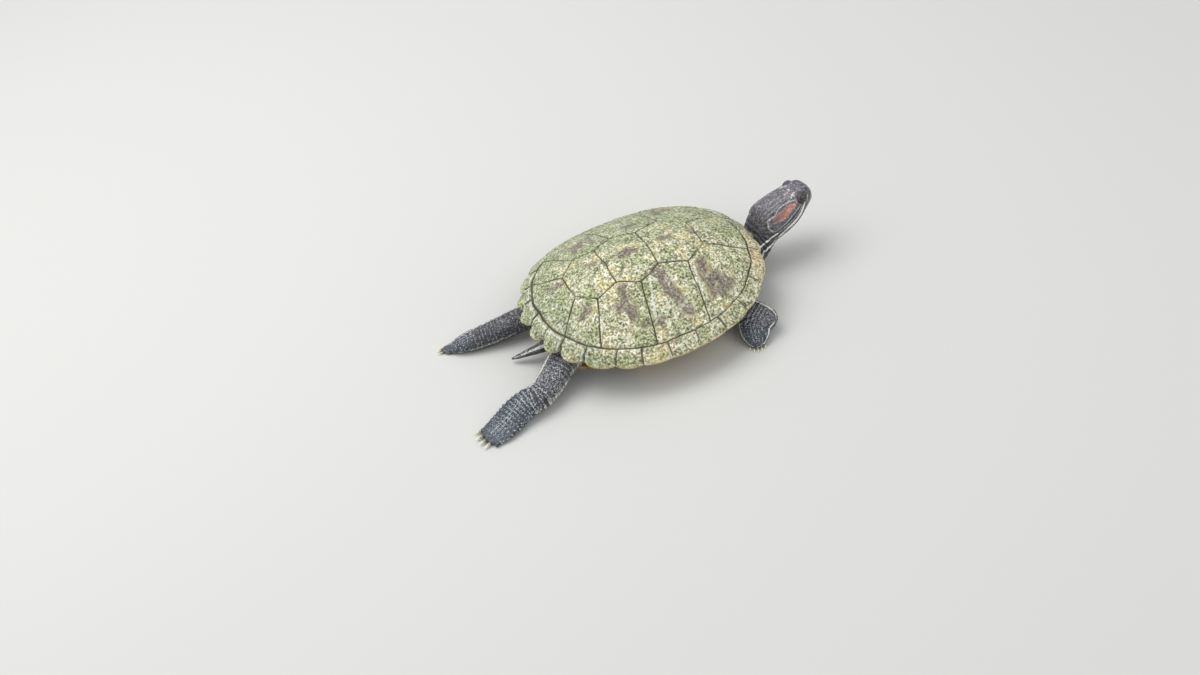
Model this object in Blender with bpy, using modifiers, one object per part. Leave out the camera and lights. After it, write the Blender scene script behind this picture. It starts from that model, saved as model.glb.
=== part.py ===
"""Red-eared slider turtle, an adult stretched out to bask, as separate solids for its plates, flesh,
eyes, beak and claws.

Metres, +Z up, +X towards the head and +Y to the turtle's left. Shapes are worked out in millimetres from
the middle of the shell at floor level, and Frame brings the whole animal over the origin.
"""

import math

import bmesh
import bpy
from mathutils import Matrix, Vector

MM = 0.001
GAP = 0.3  # clearance between neighbouring solids
BIG = 400.0  # reach of a cutter that has to pass everything
ABOVE_ALL, BELOW_ALL = 120.0, -20.0  # heights that clear the animal

# Shell
SHELL_LENGTH = 200.0
SHELL_WIDTH = 168.0
OUTLINE_POWER_X, OUTLINE_POWER_Y = 0.89, 0.955
DOME_RISE = 41.0
DOME_SHOULDER = 0.9
ROUNDNESS_SIDE, ROUNDNESS_END = 1.62, 0.45
RIM_FRONT, RIM_MIDDLE, RIM_BACK = 33.5, 28.5, 35.5
PLATE_THICKNESS = 3.2
RING = 0.878  # where the marginal plates begin, as a share of the way out
RING_FRONT_SHIFT = 0.012
NUCHAL_HALF_ANGLE = 3.4
# Corners where three upper plates meet, (forward, sideways); every second one is a costal apex.
SCUTE_CORNERS = (
    (50.5, 15.0), (31.0, 27.0), (9.5, 21.0), (-9.5, 29.0), (-27.0, 21.0), (-45.0, 25.0), (-59.0, 12.0),
)
COSTAL_SEAMS = (17.0, 76.0, 101.0, 131.0, 154.5)  # degrees round the rim from the nose
MARGINAL_SEAMS = (15.0, 38.0, 57.0, 72.0, 85.0, 96.0, 109.0, 122.0, 139.0, 154.0, 167.0)
NOTCH_FRONT, NOTCH_BACK = 0.4, 2.6  # depth of the nick in the edge at a marginal seam, percent
NOTCH_REACH = 2.2  # degrees on each side of the seam
RIM_LIP, RIM_ROOT = 3.0, 5.0  # thickness of the rim at its edge and at the shell

# Underside
PLASTRON_THICKNESS = 4.0
PLASTRON_FRONT, PLASTRON_BACK = 87.0, -87.0
PLASTRON_HALF_WIDTH = 46.0
LOBE_TUCK = 3.5  # how far each lobe draws in beside the legs
BRIDGE_FRONT, BRIDGE_BACK = 42.0, -36.0
# Each plate of the plastron and where its back edge runs
PLASTRON_SEAMS = (
    ("gular", 62.0), ("humeral", 47.0), ("pectoral", 19.0),
    ("abdominal", -26.0), ("femoral", -50.0), ("anal", -BIG),
)
ANAL_NOTCH = 6.0
PLASTRON_BEVEL = 1.2
# The bridge's wall in section: (share of the way out from plastron to rim, height)
BRIDGE_OUTSIDE = ((0.0, 0.9), (0.21, 2.6), (0.39, 6.8), (0.64, 14.5))
BRIDGE_INSIDE = ((0.56, 16.4), (0.31, 9.2), (0.16, 5.6), (0.0, 4.2))
BRIDGE_INSET, BRIDGE_WALL, BRIDGE_DROP = 4.0, 4.5, 3.4

# The body's lower rings: (half length, half width, height)
TRUNK_RINGS = ((82.0, 68.0, 24.5), (80.0, 60.0, 16.0), (77.0, 49.0, 8.5), (72.0, 42.0, 4.8))

# Head and neck: (x, y, z, half width, above, below, lean of the section in degrees)
NECK = (
    (58, 1, 18, 17.0, 11.0, 11.5, 0),
    (78, 1.5, 18, 17.5, 11.5, 11.5, 0),
    (92, 2.5, 18, 18.0, 11.6, 11.5, 0),
    (101, 3, 18.2, 17.8, 11.8, 11.5, 0),
    (105, 2.8, 23, 17.4, 13.0, 13.0, 4),
    (109, 2.8, 30, 17.4, 13.6, 14.0, 8),
    (113, 3.0, 35.8, 17.8, 13.6, 15.2, 12),
)
HEAD_CENTRE = Vector((128.6, 4.0, 41.2))
HEAD_PITCH, HEAD_YAW = 14.0, 5.5
# In the head's own axes: (forward, axis height, half width, above, below)
HEAD = (
    (-10.0, 0.0, 18.0, 13.6, 15.6),
    (-2.0, 0.0, 17.9, 13.9, 15.4),
    (6.0, 0.2, 16.8, 13.8, 14.4),
    (13.0, 0.5, 14.4, 13.4, 12.3),
    (19.0, 0.8, 11.8, 12.9, 10.4),
    (24.0, 0.8, 9.4, 11.7, 8.9),
    (26.8, 0.4, 7.4, 9.9, 7.8),
    (28.2, 0.0, 5.2, 7.8, 6.0),
)
NECK_CUT = -15.0  # where the neck ends and the head begins, along the head's axis
EYE_RADIUS = 3.9
EYE_PLACE = (17.2, 9.2, 7.5)
MOUTH_BACK, MOUTH_FRONT = (3.0, -6.0), (29.0, 1.0)  # the mouth line, (forward, up) in the head's axes
BEAK_BACK, BEAK_HEIGHT = 12.5, 4.2
HEAD_REACH = 40.0  # clears the head on every side of its middle

# Legs and tail: (x, y, z, half width, above, below)
HIND_RIGHT = (
    (-50, -25, 18, 12, 9.5, 10), (-69, -26, 18, 12.5, 9.5, 10.5), (-85, -31, 16.5, 12.2, 9.5, 10.5),
    (-100, -42, 13.5, 12, 9, 10), (-112, -48.2, 11, 11.5, 8, 9), (-122, -48.3, 9.2, 12.6, 7, 8.2),
    (-131, -49.8, 7.3, 13.4, 6, 7.2), (-140, -53, 5.2, 13.8, 4.6, 5.8), (-149, -56.6, 3.9, 13.5, 3.4, 4.4),
    (-156.5, -58.6, 3, 12.5, 2.5, 3.4), (-161.5, -59.8, 2.4, 10, 1.8, 2.6),
)
HIND_LEFT = (
    (-50, 24, 18, 11, 9.5, 10), (-68, 26.5, 18, 11, 9.5, 10), (-85, 29.8, 16.5, 10.8, 9.5, 10),
    (-99, 32.6, 14, 10.4, 9.2, 9.8), (-113, 34.8, 11, 10.2, 8.9, 9.4), (-127, 37.4, 8.6, 10, 7.6, 8.6),
    (-138, 40.2, 6.5, 9.6, 6, 6.9), (-146, 42.6, 4.7, 8.4, 4.3, 5), (-151, 44.2, 3.3, 6.8, 3.1, 3.7),
    (-155, 45.5, 2.4, 5, 2, 2.6),
)
ARM = (
    (42, -30, 18, 11, 9.5, 10), (54, -46, 17, 11.4, 9.5, 10), (62.8, -58.5, 15, 11.4, 8.8, 10),
    (69, -66.5, 12.8, 11.4, 8.4, 10.5), (73.4, -72.6, 11.2, 9.8, 7.4, 10), (75.4, -76.6, 10.4, 6, 5, 7),
)
HAND = (
    (66, -58, 13.8, 9.5, 6, 6), (63.8, -65, 12.2, 11.6, 6.4, 7), (61.2, -72, 9.6, 12.4, 6, 7.4),
    (58.8, -78, 6.8, 11.2, 4.9, 6.8), (57.2, -82, 4.6, 8.6, 3.5, 4.9), (56.2, -84.6, 3.2, 5.8, 2.4, 3.6),
)
TAIL = (
    (-66, -4, 17, 8, 7, 7), (-80, -5, 16.5, 6.8, 6.2, 6.2), (-92, -4.5, 13.5, 4.8, 4.4, 4.4),
    (-102, -0.5, 9.5, 3.4, 3.1, 3.1), (-110, 3.2, 6, 2.3, 2.1, 2.1), (-115, 5.6, 4, 1.3, 1.2, 1.2),
)
HIND_ANKLE = 0.63  # where the foot parts from the leg, as a share of the whole
# Of each foot's toes: fan in degrees, how far the outer ones are set back, radius and length
TOES_SPREAD, TOES_CLOSED, TOES_HAND = (18.0, 3.0, 2.3, 6.0), (3.0, 4.0, 1.5, 8.5), (10.0, 3.2, 1.35, 4.6)
CLAW_LENGTH, CLAW_SHARE = 2.4, 0.48  # length in toe radii, and thickness as a share of the toe's
LIMB_AROUND, HEAD_AROUND, TOE_AROUND = 12, 14, 6  # points round a section

SKIN = ("skin", "4A4C50", 0.6)
HEAD_SKIN = ("head_skin", "55504F", 0.55)
PLATE = ("algae_clad_keratin", "A5AC74", 0.7)
RIM = ("rim_keratin", "C4B46E", 0.65)
BELLY = ("plastron_keratin", "C9B25E", 0.5)
BEAK = ("beak_keratin", "6E665A", 0.45)
CLAW = ("claw_keratin", "C9B98A", 0.4)
EYE = ("eye", "1E1C16", 0.1)


def clear_scene():
    for obj in list(bpy.data.objects):
        bpy.data.objects.remove(obj, do_unlink=True)


def new_collection(name, hidden=False):
    collection = bpy.data.collections.new(name)
    collection.hide_render = hidden
    bpy.context.scene.collection.children.link(collection)
    return collection


def linear(hex_colour):
    channels = [int(hex_colour[i : i + 2], 16) / 255 for i in (0, 2, 4)]
    return [c / 12.92 if c <= 0.04045 else ((c + 0.055) / 1.055) ** 2.4 for c in channels] + [1.0]


def material_of(finish):
    """The finish's material, made at its first use."""
    name, colour, roughness = finish
    if name in bpy.data.materials:
        return bpy.data.materials[name]
    material = bpy.data.materials.new(name)
    material.use_nodes = True
    shader = material.node_tree.nodes["Principled BSDF"]
    shader.inputs["Base Color"].default_value = linear(colour)
    shader.inputs["Roughness"].default_value = roughness
    shader.inputs["Metallic"].default_value = 0.0
    return material


def mesh_object(name, bm, collection, finish=None):
    """An object from a bmesh in millimetres, its faces turned outwards."""
    bmesh.ops.recalc_face_normals(bm, faces=bm.faces)
    bmesh.ops.scale(bm, vec=Vector((MM, MM, MM)), verts=bm.verts)
    mesh = bpy.data.meshes.new(name)
    bm.to_mesh(mesh)
    bm.free()
    mesh.shade_smooth()
    mesh.set_sharp_from_angle(angle=math.radians(40))
    return place(name, mesh, collection, finish)


def place(name, mesh, collection, finish=None):
    obj = bpy.data.objects.new(name, mesh)
    collection.objects.link(obj)
    if collection.hide_render:
        obj.hide_render = True
        obj.display_type = "WIRE"
    if finish and not mesh.materials:
        mesh.materials.append(material_of(finish))
    return obj


def boolean(obj, operation, cutter):
    modifier = obj.modifiers.new(f"{operation.lower()} {cutter.name}", "BOOLEAN")
    modifier.operation = operation
    modifier.solver = "EXACT"
    modifier.object = cutter
    return obj


def spline(values, at):
    """A Catmull-Rom value between the keys, at a place counted in keys."""
    first = min(int(at), len(values) - 2)
    t = at - first
    a, b, c, d = (values[min(max(first + i, 0), len(values) - 1)] for i in (-1, 0, 1, 2))
    return [
        0.5 * (2 * q + (r - p) * t + (2 * p - 5 * q + 4 * r - s) * t * t + (3 * q - p - 3 * r + s) * t**3)
        for p, q, r, s in zip(a, b, c, d)
    ]


def signed_power(value, power):
    return math.copysign(abs(value) ** power, value)


# ---------------------------------------------------------------- shell surfaces


def plan(theta, rho=1.0):
    """A point of the shell's outline, shrunk to rho, at theta radians from the nose."""
    return Vector((
        rho * SHELL_LENGTH / 2 * signed_power(math.cos(theta), OUTLINE_POWER_X),
        rho * SHELL_WIDTH / 2 * signed_power(math.sin(theta), OUTLINE_POWER_Y),
    ))


def rim_height(x):
    end = RIM_FRONT if x > 0 else RIM_BACK
    return RIM_MIDDLE + (end - RIM_MIDDLE) * (2 * x / SHELL_LENGTH) ** 2


def dome(theta, rho, sink=0.0):
    """A point of the carapace's outer surface, lowered by sink."""
    x, y = plan(theta, rho)
    power = ROUNDNESS_SIDE + ROUNDNESS_END * math.cos(theta) ** 2
    rise = DOME_RISE * max(0.0, 1 - rho**power) ** DOME_SHOULDER
    return Vector((x, y, rim_height(x) + rise - sink))


def ring(theta):
    return RING + RING_FRONT_SHIFT * math.cos(theta)


def disc(rows, cap_bottom=False):
    """A surface through rings of points from a middle point outwards, closed below if it has a bottom."""
    bm = bmesh.new()
    loops = [[bm.verts.new(p) for p in row] for row in rows[1:]]
    top = bm.verts.new(rows[0][0])
    count = len(loops[0])
    for i in range(count):
        j = (i + 1) % count
        bm.faces.new((top, loops[0][i], loops[0][j]))
        for inner, outer in zip(loops, loops[1:]):
            bm.faces.new((inner[i], outer[i], outer[j], inner[j]))
    if cap_bottom:
        bm.faces.new(loops[-1][::-1])
    return bm


def prism(name, outline, low, high, collection):
    """A flat outline in plan, made solid between two heights."""
    bm = bmesh.new()
    face = bm.faces.new([bm.verts.new((x, y, low)) for x, y in outline])
    grown = bmesh.ops.extrude_face_region(bm, geom=[face])
    raised = [v for v in grown["geom"] if isinstance(v, bmesh.types.BMVert)]
    bmesh.ops.translate(bm, vec=Vector((0, 0, high - low)), verts=raised)
    return mesh_object(name, bm, collection)


def inset(outline, distance):
    """The outline with every side moved inwards; the outline runs anticlockwise."""
    points = [Vector(p) for p in outline]
    moved = []
    for before, point, after in zip(points[-1:] + points, points, points[1:] + points[:1]):
        first, second = (point - before).normalized(), (after - point).normalized()
        normal = (Vector((-first.y, first.x)) + Vector((-second.y, second.x))).normalized()
        lean = max(0.4, normal.dot(Vector((-first.y, first.x))))
        moved.append(point + normal * distance / lean)
    return moved


def ring_arc(start, end):
    """Points of the marginal ring between two angles in degrees."""
    steps = max(2, round(abs(end - start) / 6))
    angles = [math.radians(start + (end - start) * i / steps) for i in range(steps + 1)]
    return [plan(a, ring(a)) for a in angles]


def anticlockwise(outline):
    area = sum(a.x * b.y - b.x * a.y for a, b in zip(outline, outline[1:] + outline[:1]))
    return outline if area > 0 else outline[::-1]


def scute_outlines():
    """Every upper plate's name and outline in plan."""
    left = [Vector(c) for c in SCUTE_CORNERS]
    right = [Vector((c.x, -c.y)) for c in left]
    front, back = COSTAL_SEAMS[0], COSTAL_SEAMS[-1]
    outlines = {"vertebral_1": ring_arc(-front, front) + [left[0], right[0]]}
    for k in (0, 2, 4):
        sides = (left[k : k + 3], right[k : k + 3][::-1])
        outlines[f"vertebral_{k // 2 + 2}"] = sides[0] + sides[1]
    outlines["vertebral_5"] = ring_arc(back, 360 - back) + [right[6], left[6]]
    meets = ((0, 1), (1, 2, 3), (3, 4, 5), (5, 6))
    for k, corners in enumerate(meets):
        for side, points, sign in (("left", left, 1), ("right", right, -1)):
            arc = ring_arc(sign * COSTAL_SEAMS[k], sign * COSTAL_SEAMS[k + 1])
            outlines[f"costal_{side}_{k + 1}"] = arc + [points[i] for i in corners][::-1]
    return outlines


def build_upper_plates(parts, cutters):
    rows = [[dome(0, 0)]]
    for rho in (0.18, 0.36, 0.53, 0.69, 0.82, 0.91):
        rows.append([dome(math.radians(a), rho) for a in range(0, 360, 10)])
    shell = mesh_object("shell_blank", disc(rows), cutters)
    for name, outline in scute_outlines().items():
        cutter = prism(f"cut_{name}", inset(anticlockwise(outline), GAP / 2), 0, ABOVE_ALL, cutters)
        plate = place(name, shell.data.copy(), parts, PLATE)
        wall = plate.modifiers.new("wall", "SOLIDIFY")
        wall.thickness, wall.offset = PLATE_THICKNESS * MM, -1
        boolean(plate, "INTERSECT", cutter)


def edge_share(theta):
    """How far out the shell's edge stands at theta, nicked at each marginal seam."""
    angle = abs(math.degrees(theta))
    nearest = min(abs(angle - seam) for seam in (*MARGINAL_SEAMS, NUCHAL_HALF_ANGLE, 180.0))
    depth = NOTCH_FRONT + (NOTCH_BACK - NOTCH_FRONT) * max(0.0, -math.cos(theta)) ** 1.5
    return 1 - depth / 100 * max(0.0, 1 - nearest / NOTCH_REACH)


def rim_section(theta):
    """Around a marginal plate: over the top, round the blunt edge and back underneath."""
    edge, inner = edge_share(theta), ring(theta) + 2 * GAP / SHELL_LENGTH
    top, middle = dome(theta, inner), dome(theta, (1 + inner) / 2)
    lip = dome(theta, 1.0).z
    corner, tip, under = (plan(theta, edge - share) for share in (0.008, 0.0, 0.02))
    return [
        top, middle, Vector((*corner, lip + 0.1 * RIM_LIP)), Vector((*tip, lip - 0.3 * RIM_LIP)),
        Vector((*under, lip - RIM_LIP)), top - Vector((0, 0, RIM_ROOT)),
    ]


def loft(sections):
    """A closed body through sections of equal point counts."""
    bm = bmesh.new()
    loops = [[bm.verts.new(p) for p in section] for section in sections]
    count = len(loops[0])
    for one, other in zip(loops, loops[1:]):
        for i in range(count):
            j = (i + 1) % count
            bm.faces.new((one[i], one[j], other[j], other[i]))
    bm.faces.new(loops[0][::-1])
    bm.faces.new(loops[-1])
    return bm


def rim_angles(first, last):
    """Angles along one side's rim, close together where a nick has to show."""
    angles = [first, last]
    seams = [s for s in MARGINAL_SEAMS if first < s < last]
    for seam in seams:
        angles += [seam - NOTCH_REACH, seam, seam + NOTCH_REACH]
    for a, b in zip([first] + seams, seams + [last]):
        angles.append((a + b) / 2)
    return sorted(angles)


def build_rims(parts):
    clear = math.degrees(GAP / SHELL_WIDTH)
    for side, sign in (("left", 1), ("right", -1)):
        angles = rim_angles(NUCHAL_HALF_ANGLE + clear, 180 - clear)
        sections = [rim_section(sign * math.radians(a)) for a in angles]
        mesh_object(f"marginal_rim_{side}", loft(sections), parts, RIM)
    half = math.radians(NUCHAL_HALF_ANGLE - clear)
    mesh_object("nuchal", loft([rim_section(half * t) for t in (-1, 0, 1)]), parts, RIM)


# ---------------------------------------------------------------- underside


def plastron_half_width(x):
    """Half the plastron's width at x: straight along the bridges, with a round lobe at each end."""
    if BRIDGE_BACK <= x <= BRIDGE_FRONT:
        return PLASTRON_HALF_WIDTH
    base, end = (BRIDGE_FRONT, PLASTRON_FRONT) if x > 0 else (BRIDGE_BACK, PLASTRON_BACK)
    along = min(1.0, (x - base) / (end - base))
    return (PLASTRON_HALF_WIDTH - LOBE_TUCK * min(1.0, 5 * along)) * (1 - along**2.3) ** 0.55


def plastron_outline():
    steps = [1.0, 0.985, 0.94, 0.86, 0.75, 0.6, 0.4, 0.2, 0.0]
    front = [BRIDGE_FRONT + (PLASTRON_FRONT - BRIDGE_FRONT) * t for t in steps]
    back = [BRIDGE_BACK + (PLASTRON_BACK - BRIDGE_BACK) * t for t in reversed(steps)]
    left = [Vector((x, plastron_half_width(x))) for x in front + back]
    right = [Vector((p.x, -p.y)) for p in left[1:-1]]
    return left + right[::-1]


def build_plastron(parts, cutters):
    blank = prism("plastron_blank", plastron_outline(), 0, PLASTRON_THICKNESS, cutters)
    behind, half_mouth = PLASTRON_BACK - ANAL_NOTCH, 2 * ANAL_NOTCH
    corners = [(behind, -half_mouth), (behind, half_mouth), (PLASTRON_BACK + ANAL_NOTCH, 0)]
    notch = prism("cut_anal_notch", corners, BELOW_ALL, ABOVE_ALL, cutters)
    front = BIG
    for name, back in PLASTRON_SEAMS:
        low, high = back + GAP / 2, front - GAP / 2
        corners = [(low, -BIG), (high, -BIG), (high, BIG), (low, BIG)]
        band = prism(f"cut_{name}", corners, BELOW_ALL, ABOVE_ALL, cutters)
        plate = place(f"plastron_{name}", blank.data.copy(), parts, BELLY)
        edge = plate.modifiers.new("rounded edge", "BEVEL")
        edge.width, edge.segments, edge.limit_method = PLASTRON_BEVEL * MM, 1, "ANGLE"
        boolean(plate, "INTERSECT", band)
        if name == "anal":
            boolean(plate, "DIFFERENCE", notch)
        front = back


def bridge_section(x, sign):
    """The wall between plastron and rim at x, as a closed loop of points."""
    low = PLASTRON_HALF_WIDTH + GAP
    along = abs(2 * x / SHELL_LENGTH) ** (2 / OUTLINE_POWER_X)
    high = SHELL_WIDTH / 2 * (1 - along) ** (OUTLINE_POWER_Y / 2) - BRIDGE_INSET
    top, span = rim_height(x) - BRIDGE_DROP, high - low
    outer = [(low + share * span, z) for share, z in BRIDGE_OUTSIDE] + [(high, top)]
    inner = [(high - BRIDGE_WALL, top + 0.8)] + [(low + share * span, z) for share, z in BRIDGE_INSIDE]
    return [Vector((x, sign * y, z)) for y, z in outer + inner]


def build_bridges(parts):
    for side, sign in (("left", 1), ("right", -1)):
        stations = [BRIDGE_BACK + (BRIDGE_FRONT - BRIDGE_BACK) * i / 7 for i in range(8)]
        sections = [bridge_section(x, sign) for x in stations]
        mesh_object(f"bridge_{side}", loft(sections), parts, BELLY)


# ---------------------------------------------------------------- flesh


def trunk_rows(grow=0.0):
    """Rings of the body inside the shell, from the top of the back down to the belly."""
    angles = [math.radians(a) for a in range(0, 360, 15)]
    sink = PLATE_THICKNESS + 1.6 - grow
    rows = [[dome(0, 0, sink)]]
    for rho in (0.3, 0.55, 0.74, RING - 0.043):
        rows.append([dome(a, rho, sink) for a in angles])
    for half_x, half_y, z in TRUNK_RINGS:
        row = [plan(a) for a in angles]
        scale = Vector((2 * (half_x + grow) / SHELL_LENGTH, 2 * (half_y + grow) / SHELL_WIDTH))
        rows.append([Vector((p.x * scale.x, p.y * scale.y, z - grow)) for p in row])
    return rows


def oval(centre, forward, half_width, above, below, around=LIMB_AROUND):
    """A section across a limb: squarer than an ellipse, with its own height above and below."""
    side = forward.cross(Vector((0, 0, 1))).normalized()
    up = side.cross(forward).normalized()
    points = []
    for i in range(around):
        a = 2 * math.pi * (i + 0.5) / around
        across, height = signed_power(math.cos(a), 0.85), signed_power(math.sin(a), 0.85)
        lift = height * (above if height > 0 else below)
        points.append(centre + side * across * half_width + up * lift)
    return points


def limb_sections(keys, per_key=1):
    """Sections along a limb, turned to follow it."""
    count = (len(keys) - 1) * per_key
    rows = [spline(keys, i / per_key) for i in range(count + 1)]
    centres = [Vector(r[:3]) for r in rows]
    sections = []
    for i, row in enumerate(rows):
        forward = (centres[min(i + 1, count)] - centres[max(i - 1, 0)]).normalized()
        sections.append(oval(centres[i], forward, *row[3:6]))
    return sections


def closing(section, towards, share=0.55):
    """A smaller copy of the last section, pushed on, which rounds the end off."""
    middle = sum(section, Vector()) / len(section)
    return [middle + (p - middle) * share + towards for p in section]


def half_space(name, point, normal, collection):
    """A large block whose one face passes through point, with the block behind its normal."""
    bm = bmesh.new()
    bmesh.ops.create_cube(bm, size=BIG)
    turn = normal.normalized().to_track_quat("Z", "Y").to_matrix().to_4x4()
    place_at = Matrix.Translation(point - normal.normalized() * BIG / 2)
    bmesh.ops.transform(bm, matrix=place_at @ turn, verts=bm.verts)
    return mesh_object(name, bm, collection)


def head_matrix():
    pitch, yaw = math.radians(HEAD_PITCH), math.radians(HEAD_YAW)
    turn = Matrix.Rotation(yaw, 4, "Z") @ Matrix.Rotation(-pitch, 4, "Y")
    return Matrix.Translation(HEAD_CENTRE) @ turn


def neck_and_head_sections():
    keys = [list(k) for k in NECK]
    matrix = head_matrix()
    for forward, height, half_width, above, below in HEAD:
        keys.append([*(matrix @ Vector((forward, 0, height))), half_width, above, below, HEAD_PITCH])
    rows = [spline(keys, i / 2) for i in range(2 * len(keys) - 1)]
    sections = []
    for row in rows:
        lean, yaw = math.radians(row[6]), math.radians(HEAD_YAW)
        forward = Vector((math.cos(lean) * math.cos(yaw), math.cos(lean) * math.sin(yaw), math.sin(lean)))
        sections.append(oval(Vector(row[:3]), forward, *row[3:6], HEAD_AROUND))
    sections.append(closing(sections[-1], matrix.to_3x3() @ Vector((0.9, 0, -0.4))))
    return sections


def mouth_wedge(name, above, back, collection):
    """The block below the mouth line, raised by above, from back forwards."""
    (x0, z0), (x1, z1) = MOUTH_BACK, MOUTH_FRONT
    slope = (z1 - z0) / (x1 - x0)
    profile = [(back, -HEAD_REACH), (HEAD_REACH, -HEAD_REACH)]
    profile += [(x, z0 + slope * (x - x0) + above) for x in (HEAD_REACH, back)]
    sides = (-HEAD_REACH, HEAD_REACH)
    sections = [[head_matrix() @ Vector((x, y, z)) for x, z in profile] for y in sides]
    return mesh_object(name, loft(sections), collection)


def ball(name, centre, radius, collection, finish=None, segments=10, rings=7):
    bm = bmesh.new()
    bmesh.ops.create_uvsphere(bm, u_segments=segments, v_segments=rings, radius=radius)
    bmesh.ops.translate(bm, vec=centre, verts=bm.verts)
    return mesh_object(name, bm, collection, finish)


def build_neck_and_head(parts, cutters, trunk_cutter):
    blank = mesh_object("head_blank", loft(neck_and_head_sections()), cutters)
    matrix = head_matrix()
    forward = matrix.to_3x3() @ Vector((1, 0, 0))
    cut = matrix @ Vector((NECK_CUT, 0, 0))
    behind = half_space("cut_neck", cut - forward * GAP / 2, forward, cutters)
    ahead = half_space("cut_head", cut + forward * GAP / 2, -forward, cutters)
    neck = place("neck", blank.data.copy(), parts, SKIN)
    boolean(boolean(neck, "INTERSECT", behind), "DIFFERENCE", trunk_cutter)

    back = MOUTH_BACK[0]
    jaw_room = mouth_wedge("cut_jaw_room", 0, back, cutters)
    jaw_form = mouth_wedge("cut_jaw", -GAP, back + GAP, cutters)
    beak_room = mouth_wedge("cut_beak_room", BEAK_HEIGHT, BEAK_BACK, cutters)
    beak_form = mouth_wedge("cut_beak", BEAK_HEIGHT - GAP, BEAK_BACK + GAP, cutters)

    head = place("head", blank.data.copy(), parts, HEAD_SKIN)
    boolean(boolean(head, "INTERSECT", ahead), "DIFFERENCE", jaw_room)
    boolean(head, "DIFFERENCE", beak_room)
    beak = place("upper_beak", blank.data.copy(), parts, BEAK)
    boolean(boolean(beak, "DIFFERENCE", jaw_room), "INTERSECT", beak_form)
    jaw = place("lower_jaw", blank.data.copy(), parts, BEAK)
    boolean(jaw, "INTERSECT", jaw_form)
    for side, sign in (("left", 1), ("right", -1)):
        x, y, z = EYE_PLACE
        centre = matrix @ Vector((x, sign * y, z))
        ball(f"eye_{side}", centre, EYE_RADIUS, parts, EYE)
        boolean(head, "DIFFERENCE", ball(f"cut_eye_{side}", centre, EYE_RADIUS + GAP, cutters))


def spike(base, direction, length, radius, droop, collection, name, finish):
    """A claw: a five-sided horn that curves down to a fine tip."""
    side = direction.cross(Vector((0, 0, 1))).normalized()
    sections = []
    for t, share in ((0.0, 1.0), (0.55, 0.66), (1.0, 0.12)):
        centre = base + direction * length * t - Vector((0, 0, droop * t * t))
        up = side.cross(direction).normalized()
        turns = [2 * math.pi * k / 5 for k in range(5)]
        spokes = [side * math.cos(a) + up * math.sin(a) for a in turns]
        sections.append([centre + spoke * radius * share for spoke in spokes])
    return mesh_object(name, loft(sections), collection, finish)


def toe_fan(keys, toes, count):
    """Where each toe of a foot starts and the way it points, across the foot's end."""
    spread, setback, radius, _ = toes
    end, before = Vector(keys[-1][:3]), Vector(keys[-2][:3])
    forward = Vector((*(end - before).to_2d().normalized(), 0.0))
    side = Vector((-forward.y, forward.x, 0.0))
    toes = []
    for i in range(count):
        across = 2 * i / (count - 1) - 1
        turn = Matrix.Rotation(math.radians(spread) * across, 3, "Z")
        back = across**2 * setback
        start = end + side * across * (keys[-1][3] - radius * 0.7) - forward * (2.0 + back)
        toes.append((Vector((start.x, start.y, radius * 0.9)), turn @ forward))
    return toes


def toe(name, start, direction, radius, length, collection):
    keys = [
        (*(start + direction * t * length), radius * w, radius * w, radius * w)
        for t, w in ((-0.4, 0.95), (0.5, 1.0), (1.0, 0.65))
    ]
    sections = [oval(Vector(key[:3]), direction, *key[3:6], TOE_AROUND) for key in keys]
    return mesh_object(name, loft(sections), collection)


def build_foot(foot, keys, toes, claws, parts, cutters, floor):
    """Toes joined to the foot, and a claw ahead of each toe that has one."""
    radius, length = toes[2:]
    for i, (start, direction) in enumerate(toe_fan(keys, toes, 5)):
        digit = toe(f"{foot.name}_toe_{i + 1}", start, direction, radius, length, cutters)
        boolean(foot, "UNION", digit)
        if i < claws:
            tip = start + direction * (length + GAP) + Vector((0, 0, 0.1))
            name = f"claw_{foot.name}_{i + 1}"
            thickness = radius * CLAW_SHARE
            spike(tip, direction, CLAW_LENGTH * radius, thickness, radius * 0.3, parts, name, CLAW)
    boolean(foot, "DIFFERENCE", floor)


def split(name, sections, share, parts, cutters, trunk_cutter, floor, names):
    """A leg in two nodes, the upper one and the foot, parted at a share of its length."""
    last = len(sections) - 1
    index = share * last
    low, t = int(index), index - int(index)
    middles = [sum(s, Vector()) / len(s) for s in sections]
    point = middles[low].lerp(middles[low + 1], t)
    along = (middles[low + 1] - middles[low]).normalized()
    ends = sections + [closing(sections[-1], (middles[-1] - middles[-2]).normalized() * 1.2)]
    blank = mesh_object(f"{name}_blank", loft(ends), cutters)
    upper = place(names[0], blank.data.copy(), parts, SKIN)
    boolean(upper, "INTERSECT", half_space(f"cut_{names[0]}", point - along * GAP / 2, along, cutters))
    boolean(boolean(upper, "DIFFERENCE", trunk_cutter), "DIFFERENCE", floor)
    foot = place(names[1], blank.data.copy(), parts, SKIN)
    boolean(foot, "INTERSECT", half_space(f"cut_{names[1]}", point + along * GAP / 2, -along, cutters))
    return foot


def mirrored(keys):
    return tuple((x, -y, *rest) for x, y, *rest in keys)


def grown(keys, by):
    return tuple((x, y, z, a + by, t + by, b + by) for x, y, z, a, t, b in keys)


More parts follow.
